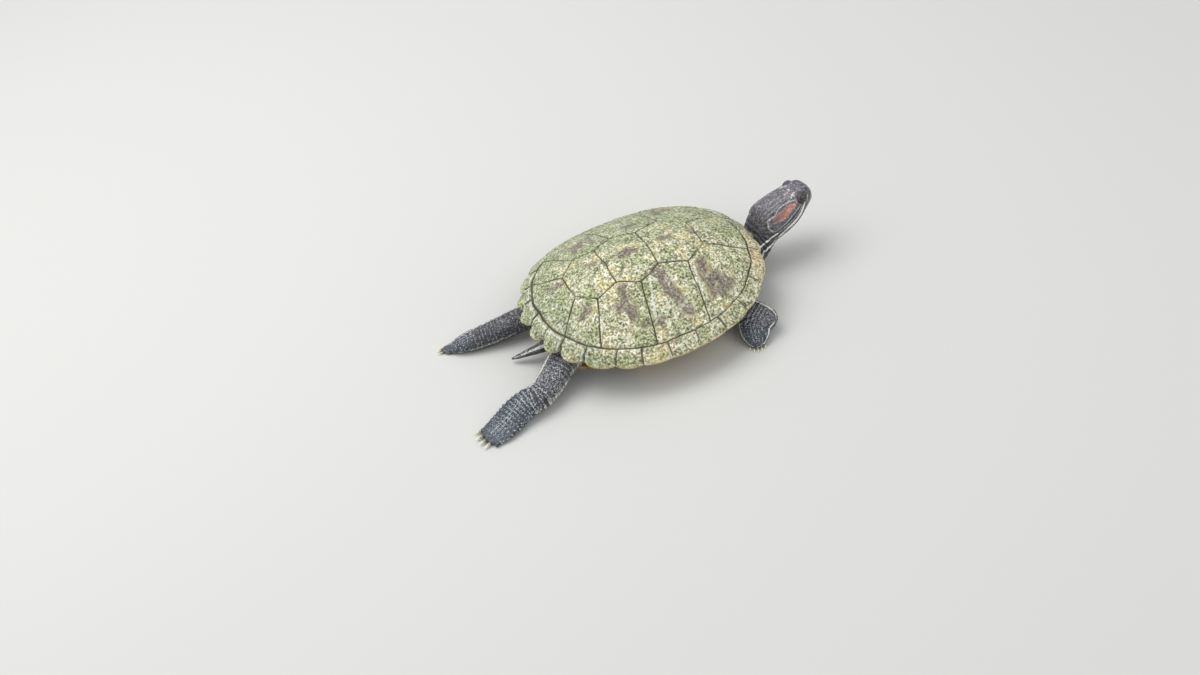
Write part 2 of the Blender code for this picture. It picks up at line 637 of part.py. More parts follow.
def build_forelimb(side, arm_keys, hand_keys, parts, cutters, trunk_cutter, floor):
    """The folded foreleg: the arm out to its elbow, and the hand that comes back over it."""
    arm_sections = limb_sections(arm_keys, per_key=2)
    middles = [sum(s, Vector()) / len(s) for s in arm_sections]
    on = (middles[-1] - middles[-2]).normalized() * 1.2
    arm_sections.append(closing(arm_sections[-1], on))
    arm = mesh_object(f"foreleg_{side}", loft(arm_sections), parts, SKIN)
    hand_sections = limb_sections(hand_keys)
    hand = mesh_object(f"forefoot_{side}", loft(hand_sections), parts, SKIN)
    room = mesh_object(f"cut_hand_{side}", loft(limb_sections(grown(hand_keys, GAP))), cutters)
    boolean(boolean(boolean(arm, "DIFFERENCE", trunk_cutter), "DIFFERENCE", room), "DIFFERENCE", floor)
    boolean(hand, "DIFFERENCE", trunk_cutter)
    build_foot(hand, hand_keys, TOES_HAND, 5, parts, cutters, floor)


def build_flesh(parts, cutters):
    floor = half_space("cut_floor", Vector((0, 0, 0)), Vector((0, 0, 1)), cutters)
    trunk_cutter = mesh_object("trunk_room", disc(trunk_rows(GAP), cap_bottom=True), cutters)
    mesh_object("trunk", disc(trunk_rows(), cap_bottom=True), parts, SKIN)
    build_neck_and_head(parts, cutters, trunk_cutter)

    tail_sections = limb_sections(TAIL, per_key=2)
    tail = mesh_object("tail", loft([s[::2] for s in tail_sections]), parts, SKIN)
    boolean(tail, "DIFFERENCE", trunk_cutter)

    for side, keys, toes in (("right", HIND_RIGHT, TOES_SPREAD), ("left", HIND_LEFT, TOES_CLOSED)):
        names = (f"hind_leg_{side}", f"hind_foot_{side}")
        sections = limb_sections(keys)
        foot = split(f"hind_{side}", sections, HIND_ANKLE, parts, cutters, trunk_cutter, floor, names)
        build_foot(foot, keys, toes, 4, parts, cutters, floor)
    for side, arm, hand in (("right", ARM, HAND), ("left", mirrored(ARM), mirrored(HAND))):
        build_forelimb(side, arm, hand, parts, cutters, trunk_cutter, floor)


# ---------------------------------------------------------------- whole animal


def centre_on_origin(parts, cutters):
    """Parents everything to one empty, moved so that the animal's box stands centred on the origin."""
    bpy.context.view_layer.update()
    graph = bpy.context.evaluated_depsgraph_get()
    corners = [Vector(c) for obj in parts.objects for c in obj.evaluated_get(graph).bound_box]
    middle = [(min(c[k] for c in corners) + max(c[k] for c in corners)) / 2 for k in (0, 1)]
    frame = bpy.data.objects.new("Frame", None)
    members = list(parts.objects) + list(cutters.objects)
    parts.objects.link(frame)
    for obj in members:
        obj.parent = frame
    frame.location = (-middle[0], -middle[1], 0.0)


def main():
    clear_scene()
    parts = new_collection("red_eared_slider_turtle")
    cutters = new_collection("cutters", hidden=True)
    build_upper_plates(parts, cutters)
    build_rims(parts)
    build_plastron(parts, cutters)
    build_bridges(parts)
    build_flesh(parts, cutters)
    centre_on_origin(parts, cutters)


main()
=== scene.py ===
"""The looks of a basking red-eared slider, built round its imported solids.

Lengths are millimetres in the shell's own axes: +X towards the nose, +Y to the animal's left and Z up from
the floor, with the middle of the shell at X = Y = 0. Placement turns them into the row's metres.
"""

import logging
import math
from dataclasses import dataclass
from enum import Enum

import bmesh
import bpy
import numpy as np
from mathutils import Matrix, Vector
from mathutils.bvhtree import BVHTree


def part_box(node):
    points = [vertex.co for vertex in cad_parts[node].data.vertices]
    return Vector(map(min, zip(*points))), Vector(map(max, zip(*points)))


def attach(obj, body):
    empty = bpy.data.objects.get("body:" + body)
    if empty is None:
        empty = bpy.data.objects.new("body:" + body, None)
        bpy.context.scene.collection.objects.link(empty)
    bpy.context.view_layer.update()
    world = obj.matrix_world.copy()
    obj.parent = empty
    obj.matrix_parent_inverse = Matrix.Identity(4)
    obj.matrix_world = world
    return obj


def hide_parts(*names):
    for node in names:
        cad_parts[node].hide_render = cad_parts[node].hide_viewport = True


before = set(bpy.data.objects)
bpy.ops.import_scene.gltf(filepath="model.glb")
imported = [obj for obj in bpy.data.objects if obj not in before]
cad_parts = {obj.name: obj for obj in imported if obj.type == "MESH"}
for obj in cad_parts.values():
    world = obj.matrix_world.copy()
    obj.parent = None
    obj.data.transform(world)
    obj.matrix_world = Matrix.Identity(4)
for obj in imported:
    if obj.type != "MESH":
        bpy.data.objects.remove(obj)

LOG = logging.getLogger("red_eared_slider")
MM = 0.001
TURN = 2 * math.pi
GAP = 0.3  # clearance between neighbouring plates
FLOOR_GAP = 0.05
SEED = 7
SIDES = (("left", 1), ("right", -1))
GOLD = 17.3  # shifts each layer of noise off the one before

Array = np.ndarray
Body = tuple[Array, list[Array]]  # points and faces
Tree = bpy.types.NodeTree
Socket = bpy.types.NodeSocket
Piece = bpy.types.Object
Material = bpy.types.Material


# ---------------------------------------------------------------- numbers


def linear(hex_colour: str) -> tuple[float, float, float, float]:
    """Turns an sRGB colour of six hexadecimal digits to linear light, with an alpha of 1."""
    channels = (int(hex_colour[i : i + 2], 16) / 255 for i in (0, 2, 4))
    red, green, blue = (c / 12.92 if c <= 0.04045 else ((c + 0.055) / 1.055) ** 2.4 for c in channels)
    return red, green, blue, 1.0


def signed_power(value: Array, power: float) -> Array:
    """Raises the size of a value to a power and keeps its sign."""
    return np.sign(value) * np.abs(value) ** power


def smoothstep(low: float, high: float, value: Array) -> Array:
    """Goes softly from 0 at low to 1 at high; low may be the greater."""
    t = np.clip((value - low) / (high - low), 0.0, 1.0)
    return t * t * (3 - 2 * t)


def bump(value: Array, width: float) -> Array:
    """A bell of height 1 round 0, that falls to about a third at width."""
    return np.exp(-((value / width) ** 2))


def unit(vectors: Array) -> Array:
    """Vectors brought to length 1."""
    return vectors / np.maximum(np.linalg.norm(vectors, axis=-1, keepdims=True), 1e-9)


def axes_across(forward: Array) -> tuple[Array, Array]:
    """The level and the upright direction across a way forward."""
    side = unit(np.cross(forward, (0.0, 0.0, 1.0)))
    return side, np.cross(side, forward)


def run_along(line: Array) -> Array:
    """How far along a line each of its corners lies."""
    return np.concatenate([[0.0], np.cumsum(np.linalg.norm(np.diff(line, axis=0), axis=1))])


def between(at: Array, places: Array, rows: Array) -> Array:
    """Rows of values at new places, from the rows at known places."""
    return np.stack([np.interp(at, places, column) for column in rows.T], axis=-1)


def spline(keys: Array, at: Array) -> Array:
    """Catmull-Rom values between keys.

    Args:
        keys: One row of values for each key.
        at: Places counted in keys.

    Returns:
        One row of values for each place.
    """
    keys = np.asarray(keys, float)
    first = np.minimum(at.astype(int), len(keys) - 2)
    t = (at - first)[:, None]
    p, q, r, s = (keys[np.clip(first + i, 0, len(keys) - 1)] for i in (-1, 0, 1, 2))
    return 0.5 * (2 * q + (r - p) * t + (2 * p - 5 * q + 4 * r - s) * t**2 + (3 * q - p - 3 * r + s) * t**3)


def value_noise(points: Array, seed: int) -> Array:
    """Smooth random values of about -1 to 1 at points counted in cells.

    Args:
        points: Points, one to a row.
        seed: Chooses the pattern.

    Returns:
        One value for each point.
    """
    cell = np.floor(points).astype(np.int64)
    t = points - cell
    t = t * t * (3 - 2 * t)
    total = np.zeros(len(points))
    for corner in range(8):
        bits = np.array([(corner >> k) & 1 for k in range(3)])
        x, y, z = (cell + bits).T
        mixed = (x * 73856093) ^ (y * 19349663) ^ (z * 83492791) ^ (seed * 40503)
        mixed = ((mixed ^ (mixed >> 13)) * 1274126177) & 0xFFFFFFFF
        value = ((mixed ^ (mixed >> 15)) & 0xFFFF) / 32767.5 - 1
        total += value * np.prod(np.where(bits, t, 1 - t), axis=-1)
    return total


def rough(points: Array, size: float, seed: int, octaves: int = 3) -> Array:
    """Layered noise.

    Args:
        points: Points, one to a row, in millimetres.
        size: Width of the largest lumps, in millimetres.
        seed: Chooses the pattern.
        octaves: How many layers, each half as wide as the one before.

    Returns:
        One value of about -1 to 1 for each point.
    """
    points = np.asarray(points, float)
    if points.shape[1] == 2:
        points = np.column_stack([points, np.zeros(len(points))])
    layers = (value_noise(points * 2**k / size + GOLD * k, seed + k) / 2**k for k in range(octaves))
    return sum(layers) / (2 - 2 ** (1 - octaves))


def segment_distance(points: Array, line: Array, closed: bool = False) -> tuple[Array, Array]:
    """Measures points from a line of straight pieces.

    Args:
        points: Points, one to a row.
        line: The line's corners, one to a row.
        closed: Whether the last corner joins the first.

    Returns:
        The distance of each point, and the place of its nearest point counted in corners.
    """
    ends = np.roll(line, -1, axis=0) if closed else line[1:]
    best, place = np.full(len(points), np.inf), np.zeros(len(points))
    for i, (a, b) in enumerate(zip(line, ends)):
        t = np.clip(((points - a) @ (b - a)) / max((b - a) @ (b - a), 1e-9), 0, 1)
        distance = np.linalg.norm(points - a - t[:, None] * (b - a), axis=1)
        nearer = distance < best
        best[nearer] = distance[nearer]
        place[nearer] = i + t[nearer]
    return best, place


# ---------------------------------------------------------------- meshes


@dataclass(frozen=True)
class Placement:
    """Where the middle of the shell stands in the row, in metres."""

    centre_x: float
    centre_y: float

    @classmethod
    def from_frame(cls, half_length: float) -> "Placement":
        """Finds the middle of the shell, half its length behind the front edge of the nuchal plate."""
        low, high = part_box("nuchal")
        return cls(high.x - half_length * MM, (low.y + high.y) / 2)

    def to_row(self, points: Array) -> Array:
        """Points in the row's metres, from millimetres in the shell's axes."""
        return np.asarray(points) * MM + (self.centre_x, self.centre_y, 0.0)

    def from_row(self, points: Array) -> Array:
        """Points in millimetres in the shell's axes, from the row's metres."""
        return (np.asarray(points) - (self.centre_x, self.centre_y, 0.0)) / MM


PLACE = Placement.from_frame(half_length=100.0)


def grid_faces(rows: int, columns: int, around: bool = False) -> Array:
    """Four-sided faces over a grid of points numbered row by row; around closes each row on itself."""
    i = np.arange(rows - 1)[:, None] * columns
    j = np.arange(columns if around else columns - 1)[None, :]
    k = (j + 1) % columns
    return np.stack([i + j, i + k, i + columns + k, i + columns + j], axis=-1).reshape(-1, 4)


def fan(centre: int, ring: Array) -> Array:
    """Three-sided faces from one point to a closed ring of points."""
    return np.column_stack([np.full(len(ring), centre), ring, np.roll(ring, -1)])


def capped(rings: Array, start: Array | None = None, end: Array | None = None) -> Body:
    """Closes rings of points into one body.

    Args:
        rings: Points in rings.
        start: The point that closes the first ring; its middle if none is given.
        end: The point that closes the last ring, likewise.

    Returns:
        Points and faces, the two closing points last.
    """
    rows, columns = rings.shape[:2]
    count = rows * columns
    start = rings[0].mean(axis=0) if start is None else start
    end = rings[-1].mean(axis=0) if end is None else end
    caps = fan(count, np.arange(columns)[::-1]), fan(count + 1, np.arange(count - columns, count))
    return np.vstack([rings.reshape(-1, 3), start, end]), [grid_faces(rows, columns, around=True), *caps]


def slab(outer: Array, inner: Array) -> Body:
    """Closes two like grids of points into one solid.

    Args:
        outer: Points of the outer face, in rows and columns.
        inner: Points of the inner face, in the same rows and columns.

    Returns:
        Points and faces, the outer grid's points first.
    """
    rows, columns = outer.shape[:2]
    count = rows * columns
    index = np.arange(count).reshape(rows, columns)
    border = np.concatenate([index[0, :-1], index[:-1, -1], index[-1, :0:-1], index[:0:-1, 0]])
    after = np.roll(border, -1)
    walls = np.column_stack([border, border + count, after + count, after])
    over = grid_faces(rows, columns)
    points = np.concatenate([outer.reshape(-1, 3), inner.reshape(-1, 3)])
    return points, [over, over[:, ::-1] + count, walls]


def linked(name: str, data: bpy.types.ID) -> Piece:
    """An object made of some data and linked to the scene."""
    made = bpy.data.objects.new(name, data)
    bpy.context.scene.collection.objects.link(made)
    return made


def mesh_piece(name: str, points: Array, faces: list[Array]) -> Piece:
    """Makes an object from points in millimetres, its place in its mesh and its faces turned outwards.

    Args:
        name: The piece's name.
        points: Points in the shell's axes.
        faces: Arrays of point numbers, each with faces of one size.

    Returns:
        The object, linked to the scene.
    """
    mesh = bpy.data.meshes.new(name)
    corners = np.concatenate([f.ravel() for f in faces]).astype(np.int32)
    sizes = np.concatenate([np.full(len(f), f.shape[1]) for f in faces])
    mesh.vertices.add(len(points))
    mesh.vertices.foreach_set("co", PLACE.to_row(points).astype(np.float32).ravel())
    mesh.loops.add(len(corners))
    mesh.loops.foreach_set("vertex_index", corners)
    mesh.polygons.add(len(sizes))
    mesh.polygons.foreach_set("loop_start", (np.cumsum(sizes) - sizes).astype(np.int32))
    mesh.update(calc_edges=True)
    bm = bmesh.new()
    bm.from_mesh(mesh)
    bmesh.ops.recalc_face_normals(bm, faces=bm.faces)
    bm.to_mesh(mesh)
    bm.free()
    mesh.shade_smooth()
    return linked(name, mesh)


def store(piece: Piece, **marks: Array) -> None:
    """Stores numbers or directions on a piece's points, one for each point under each name."""
    for name, values in marks.items():
        values = np.asarray(values, np.float32)
        kind, slot = ("FLOAT", "value") if values.ndim == 1 else ("FLOAT_VECTOR", "vector")
        piece.data.attributes.new(name, kind, "POINT").data.foreach_set(slot, values.ravel())


def read(vectors: bpy.types.bpy_prop_collection, slot: str) -> Array:
    """A mesh's vectors, one to a row."""
    flat = np.empty(len(vectors) * 3, np.float32)
    vectors.foreach_get(slot, flat)
    return flat.reshape(-1, 3).astype(float)


def points_of(piece: Piece) -> Array:
    """A piece's points in millimetres in the shell's axes."""
    return PLACE.from_row(read(piece.data.vertices, "co"))


def set_points(piece: Piece, points: Array) -> None:
    """Moves a piece's points to places in millimetres in the shell's axes."""
    piece.data.vertices.foreach_set("co", PLACE.to_row(points).astype(np.float32).ravel())
    piece.data.update()


def keep_off_floor(points: Array) -> None:
    """Lifts the points that lie in the floor or on it."""
    points[:, 2] = np.maximum(points[:, 2], FLOOR_GAP)


def surface_of(piece: Piece) -> BVHTree:
    """A piece's surface, to find its nearest place or where a ray meets it."""
    return BVHTree.FromObject(piece, bpy.context.evaluated_depsgraph_get())


def apply_modifiers(piece: Piece) -> None:
    """Replaces a piece's mesh by what its modifiers make of it, and removes them."""
    graph = bpy.context.evaluated_depsgraph_get()
    made = bpy.data.meshes.new_from_object(piece.evaluated_get(graph), depsgraph=graph)
    piece.modifiers.clear()
    old, piece.data = piece.data, made
    bpy.data.meshes.remove(old)


def finish_piece(piece: Piece, material: Material, slot: str, *nodes: str) -> None:
    """Gives a piece its material, hangs it under the root and hides the solids that it replaces.

    Args:
        piece: The finished object.
        material: Its surface.
        slot: Not used.
        *nodes: Names of the solids that it replaces.
    """
    piece.data.materials.clear()
    piece.data.materials.append(material)
    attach(piece, "root")
    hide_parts(*nodes)
    LOG.info("%s: %d points", piece.name, len(piece.data.vertices))


# ---------------------------------------------------------------- finishes


def add(tree: Tree, kind: str, inputs: dict | None = None, **settings: object) -> bpy.types.NodeOutputs:
    """Adds a node with its settings and links.

    Args:
        tree: The tree that it joins.
        kind: The node's Blender type.
        inputs: Values or sockets to join, by input name or number.
        **settings: The node's own properties. A ramp takes its stops as (place, colour) pairs.

    Returns:
        The node's outputs.
    """
    node = tree.nodes.new(kind)
    for name, value in settings.items():
        if name != "stops":
            setattr(node, name, value)
            continue
        elements = node.color_ramp.elements
        while len(elements) < len(value):
            elements.new(0.5)
        for element, (place, colour) in zip(elements, value):
            element.position, element.color = place, linear(colour)
    for key, value in (inputs or {}).items():
        if isinstance(value, Socket):
            tree.links.new(value, node.inputs[key])
        else:
            node.inputs[key].default_value = value
    return node.outputs


@dataclass(frozen=True)
class Grain:
    """A noise, or a pattern of cells, with marks size millimetres across; lift is its share of the relief."""

    name: str
    size: float
    detail: float = 4.0
    lift: float = 1.0
    cells: bool = False

    def grow(self, tree: Tree, place: Socket) -> Socket:
        """Adds the pattern over a place's coordinates and gives its value."""
        inputs = {"Vector": place, "Scale": 1 / (self.size * MM)}
        if self.cells:
            return add(tree, "ShaderNodeTexVoronoi", inputs)["Distance"]
        return add(tree, "ShaderNodeTexNoise", inputs | {"Detail": self.detail, "Roughness": 0.64})["Fac"]


@dataclass(frozen=True)
class Layer:
    """Colours laid over those below, where a mark goes from low to high; low may be the greater.

    The mark is a number stored on the piece, a grain's name, or several of these joined by *. The finish's
    first grain frays the edge by blur, and several colours run from its low places to its high ones.
    """

    mark: str
    colours: tuple
    low: float
    high: float
    blur: float = 0.0
    strength: float = 1.0

    def share(self, tree: Tree, grains: dict[str, Socket], first: Socket) -> Socket:
        """How much of the layer shows.

        Args:
            tree: The material's nodes.
            grains: The finish's patterns by name.
            first: The pattern that frays the edge.

        Returns:
            A value from 0 to the layer's strength.
        """
        value: Socket | float = 1.0
        for name in self.mark.split("*"):
            source = grains.get(name) or add(tree, "ShaderNodeAttribute", attribute_name=name)["Fac"]
            value = add(tree, "ShaderNodeMath", {0: value, 1: source}, operation="MULTIPLY")[0]
        frayed = {0: first, 1: self.blur, 2: value}
        value = add(tree, "ShaderNodeMath", frayed, operation="MULTIPLY_ADD")[0]
        spread = {"Value": value, "From Min": self.low + self.blur / 2, "From Max": self.high + self.blur / 2}
        spread["To Max"] = self.strength
        return add(tree, "ShaderNodeMapRange", spread, interpolation_type="SMOOTHSTEP")["Result"]


@dataclass(frozen=True)
class Finish:
    """A surface: ground colours mottled by its first grain, layers over them, its gloss and its relief."""

    name: str
    ground: tuple
    grains: tuple
    layers: tuple = ()
    roughness: float = 0.5
    bump: float = 0.1
    # The values of a noise between which nearly all of it lies
    span: tuple = (0.36, 0.64)

    def shades(self, tree: Tree, grain: Socket, colours: tuple) -> Socket | tuple:
        """One colour as it is, or several spread from a pattern's low places to its high ones."""
        if len(colours) == 1:
            return linear(colours[0])
        stops = list(zip(np.linspace(*self.span, len(colours)), colours))
        return add(tree, "ShaderNodeValToRGB", {"Fac": grain}, stops=stops)["Color"]

    def build(self) -> Material:
        """Makes the surface from nodes over the object's own coordinates.

        Returns:
            The material.
        """
        material = bpy.data.materials.new(self.name)
        material.use_nodes = True
        tree = material.node_tree
        tree.nodes.clear()
        place = add(tree, "ShaderNodeTexCoord")["Object"]
        grains = {grain.name: grain.grow(tree, place) for grain in self.grains}
        first = grains[self.grains[0].name]
        height: Socket | float = 0.0
        for grain in self.grains:
            rise = {0: grains[grain.name], 1: grain.lift, 2: height}
            height = add(tree, "ShaderNodeMath", rise, operation="MULTIPLY_ADD")[0]
        colour = self.shades(tree, first, self.ground)
        for layer in self.layers:
            mix = {0: layer.share(tree, grains, first), 6: colour, 7: self.shades(tree, first, layer.colours)}
            colour = add(tree, "ShaderNodeMix", mix, data_type="RGBA")[2]
        relief = add(tree, "ShaderNodeBump", {"Height": height, "Distance": self.bump * MM})["Normal"]
        look = {"Base Color": colour, "Roughness": self.roughness, "Normal": relief}
        shader = add(tree, "ShaderNodeBsdfPrincipled", look)["BSDF"]
        add(tree, "ShaderNodeOutputMaterial", {"Surface": shader})
        return material


@dataclass(frozen=True)
class AlgaeCladKeratin(Finish):
    """Horn plates grown over with a dry crust of algae.

    The crust scatters light like chalk, so it is matt, speckled cream and olive, and greener where it is
    thicker; the horn under it shows mauve-brown where it has rubbed off.
    """

    name: str = "algae_clad_keratin"
    ground: tuple = ("3A3A30", "72725B", "A5A587", "CCCBAE", "F8F7EB")
    grains: tuple = (Grain("fine", 1.7, 5.0), Grain("broad", 14.0, 5.0), Grain("film", 4.8, 6.0, 0.5))
    layers: tuple = (
        Layer("film", ("33342A", "5E5F48", "8E8E72"), 0.48, 0.37, 0.5, 0.7),
        Layer("film", ("C6C4A2", "E9E7D0", "FDFCF6"), 0.52, 0.62, 0.6, 0.85),
        Layer("broad", ("4B5630", "88915A", "CBCC90"), 0.49, 0.6, 0.6, 0.68),
        Layer("broad", ("857B4A", "CCBD80", "F2E8BA"), 0.48, 0.38, 0.6, 0.68),
        # painted shade: the far left side and the back, darker and cooler
        Layer("far", ("46543F", "7A8668", "B0B99A"), 0.0, 1.0, 0.0, 0.5),
        Layer("edge", ("A69A62", "CFC48C", "ECE5BE"), 0.3, 1.0, 0.8, 0.65),
        Layer("tan", ("A37F58", "CBAA80", "E4D0AC"), 0.1, 0.9, 0.8, 0.65),
        Layer("bare", ("4A423C", "665B52", "7E7166", "A79C8F"), 0.25, 0.5, 1.9, 0.84),
        Layer("below", ("9F8F5C", "C0B07A", "D6C896"), 0.4, 0.6),
        Layer("below*smudge", ("3F3A2B",), 0.42, 0.6, 0.9),
        Layer("scratch", ("B9BBA9", "E4E5D8"), 0.3, 0.8, 1.4, 0.8),
        Layer("seam", ("514C42",), 0.4, 0.8, 1.1, 0.9),
    )
    roughness: float = 0.75
    bump: float = 0.4


@dataclass(frozen=True)
class PlastronKeratin(Finish):
    """Belly horn, smooth and a little waxy from rubbing: yellow, with a dark paired smudge on each plate."""

    name: str = "plastron_keratin"
    ground: tuple = ("A88A45", "C9AC5F", "D9BF78", "E2CE92")
    grains: tuple = (Grain("broad", 9.0), Grain("fine", 1.6, 3.0))
    layers: tuple = (
        Layer("smudge", ("3B3020", "55462F"), 0.42, 0.66, 1.3),
        Layer("seam", ("8C6C3A",), 0.4, 0.9, 0.5),
    )
    roughness: float = 0.42
    bump: float = 0.08


@dataclass(frozen=True)
class ScalySkin(Finish):
    """Dry reptile skin: charcoal with fine granules, mauve-grey on the head and cool grey on the feet.

    Its gloss is low and broad, as on worn leather, and painted shade darkens the folds, the nostrils and the
    mouth line.
    """

    name: str = "scaly_skin"
    ground: tuple = ("212125", "333338", "46464C", "626268")
    grains: tuple = (Grain("fine", 1.7), Grain("broad", 9.0), Grain("cells", 1.15, lift=-1.0, cells=True))
    layers: tuple = (
        Layer("head", ("38343A", "524D54", "6D676E", "938C93"), 0.0, 1.0),
        Layer("foot", ("2A2F34", "42494F", "5F676D"), 0.0, 1.0),
        Layer("cells", ("98979A",), 0.3, 0.08, 0.7, 0.4),
        Layer("streak*head", ("9A949A", "C9C2C5"), 0.25, 0.75, 0.9, 0.75),
        Layer("broad", ("29272B",), 0.52, 0.68, 0.2, 0.45),
        # the dark stripes, and painted shade in the eye sockets
        Layer("dark", ("25282E", "3D4249"), 0.1, 1.0, 0.3),
        Layer("grey", ("A8A9A8", "CFD0CA"), 0.15, 1.0, 0.6, 0.85),
        Layer("red", ("8A605A", "AE7A6C", "CC9886"), 0.3, 0.7, 1.6),
        Layer("rust", ("6B5250", "8A6C66"), 0.1, 0.9, 1.2, 0.85),
        Layer("cream", ("D6D6C8", "F6F6EE"), 0.3, 0.7, 0.4),
        # painted shade in the folds, the nostrils and the mouth line
        Layer("hollow", ("141316",), 0.1, 1.3),
    )
    roughness: float = 0.52
    bump: float = 0.2


@dataclass(frozen=True)
class ScaleHorn(Finish):
    """Small matt horn scales: charcoal at the root, worn pale at the tip, with painted light on the fold
    crests and painted shade between them, cooler on the feet.
    """

    name: str = "scale_horn"
    ground: tuple = ("222226", "323237", "434348")
    grains: tuple = (Grain("fine", 0.8, 3.0),)
    layers: tuple = (
        Layer("foot", ("272C31", "3A4147", "50585F"), 0.0, 1.0),
        # the paleness carries painted light on the fold crests and painted shade between them
        Layer("tip*pale", ("8C8D92", "BFC0C1"), 0.1, 0.8),
        Layer("tip*pale*foot", ("8A969E", "B7C1C6"), 0.1, 0.8),
        Layer("cream", ("C9C8B6", "E9E8DC"), 0.3, 0.8),
    )
    roughness: float = 0.5
    bump: float = 0.08


@dataclass(frozen=True)
class BeakHorn(Finish):
    """The beak's worn horn: smooth, dark grey and faintly shining, paler at the biting edge."""

    name: str = "beak_horn"
    ground: tuple = ("3C393B", "545053", "6F6A6C")
    grains: tuple = (Grain("fine", 1.2),)
    layers: tuple = (Layer("rim", ("7C766F", "A39C90"), 0.5, 1.1, 0.8),)
    roughness: float = 0.38
    bump: float = 0.08


@dataclass(frozen=True)
class ClawHorn(BeakHorn):
    """Claw horn: smooth pale tan, brown at the root, where light no longer gets through it."""

    name: str = "claw_horn"
    ground: tuple = ("8A8068", "ACA284", "C8BFA0")
    layers: tuple = (Layer("rim", ("DBD3B9", "EEE9D8"), 0.15, 0.7, 0.3),)
    roughness: float = 0.34
    bump: float = 0.05


@dataclass(frozen=True)
class WetEye(Finish):
    """A wet eyeball, sharply glossy: a black pupil and a dark bar across an olive iris with a paler ring."""

    name: str = "wet_eye"
    ground: tuple = ("3A3C30", "55573F", "70724F")
    grains: tuple = (Grain("fine", 0.5, 2.0),)
    layers: tuple = (
        Layer("off", ("8A8A62",), 0.2, 0.15, 0.0, 0.7),
        Layer("off", ("25261A",), 0.26, 0.38, 0.1),
        Layer("bar", ("0A0A09",), 0.17, 0.08, 0.05),
        Layer("off", ("060606",), 0.16, 0.13),
        Layer("off", ("1B1A18",), 0.4, 0.44),
    )
    roughness: float = 0.06
    bump: float = 0.01


# ---------------------------------------------------------------- shell


@dataclass(frozen=True)
class ShellForm:
    """The carapace's outer surface, in terms of the angle from the nose and the share of the way out."""

    length: float = 200.0
    width: float = 168.0
    power_x: float = 0.89
    power_y: float = 0.955
    rise: float = 41.0
    shoulder: float = 0.9
    roundness_side: float = 1.62
    roundness_end: float = 0.45
    rim_front: float = 33.5
    rim_middle: float = 28.5
    rim_back: float = 35.5
    ring_share: float = 0.878
    ring_front_shift: float = 0.012
    sway: float = 1.4
    sway_size: float = 12.0

    def plan(self, theta: Array, rho: Array) -> Array:
        """Points in plan at angles theta, a share rho of the way out."""
        x = rho * self.length / 2 * signed_power(np.cos(theta), self.power_x)
        y = rho * self.width / 2 * signed_power(np.sin(theta), self.power_y)
        return np.stack(np.broadcast_arrays(x, y), axis=-1)

    def rim_height(self, x: Array) -> Array:
        """The height of the shell's edge at x."""
        end = np.where(x > 0, self.rim_front, self.rim_back)
        return self.rim_middle + (end - self.rim_middle) * (2 * x / self.length) ** 2

    def dome(self, theta: Array, rho: Array) -> Array:
        """The height of the surface at an angle and a share of the way out."""
        power = self.roundness_side + self.roundness_end * np.cos(theta) ** 2
        x = self.plan(theta, rho)[..., 0]
        return self.rim_height(x) + self.rise * np.maximum(0.0, 1 - rho**power) ** self.shoulder

    def ring(self, theta: Array) -> Array:
        """Where the marginal plates begin, as a share of the way out."""
        return self.ring_share + self.ring_front_shift * np.cos(theta)

    def polar(self, flat: Array) -> tuple[Array, Array]:
        """Finds the angle and the share of the way out of points in plan.

        Args:
            flat: Points in plan, one to a row.

        Returns:
            The angles and the shares.
        """
        x, y = np.abs(flat[:, 0]) * 2 / self.length, np.abs(flat[:, 1]) * 2 / self.width
        low, high = np.full(len(flat), 1e-6), np.full(len(flat), 3.0)
        for _ in range(36):
            rho = (low + high) / 2
            inside = (x / rho) ** (2 / self.power_x) + (y / rho) ** (2 / self.power_y) < 1
            high = np.where(inside, rho, high)
            low = np.where(inside, low, rho)
        cosine = np.sign(flat[:, 0]) * (x / rho) ** (1 / self.power_x)
        sine = np.sign(flat[:, 1]) * (y / rho) ** (1 / self.power_y)
        return np.arctan2(sine, cosine), rho

    def height(self, flat: Array) -> Array:
        """The height of the surface over points in plan."""
        return self.dome(*self.polar(flat))

    def settle(self, flat: Array) -> Array:
        """Sways points in plan a little, so that no seam runs straight; the shell's edge stays put."""
        fade = self.sway * (1 - smoothstep(0.9, 0.985, self.polar(flat)[1]))
        sway = [rough(flat, self.sway_size, seed, 4) for seed in (3, 31)]
        return flat + np.column_stack(sway) * fade[:, None]


def resampled(line: Array, spacing: float) -> Array:
    """A closed line's points spread evenly along it, spacing apart."""
    ends = np.vstack([line, line[:1]])
    run = run_along(ends)
    return between(np.linspace(0, run[-1], int(run[-1] / spacing), endpoint=False), run, ends)


def far_side_shade(flat: Array) -> Array:
    """Painted shade: how far points in plan lie towards the animal's shaded left side and back, from 0 to 1.
    """
    left = smoothstep(-25, 45, flat[:, 1] + 0.15 * flat[:, 0])
    return np.maximum(left, 0.75 * smoothstep(-48, -78, flat[:, 0]))


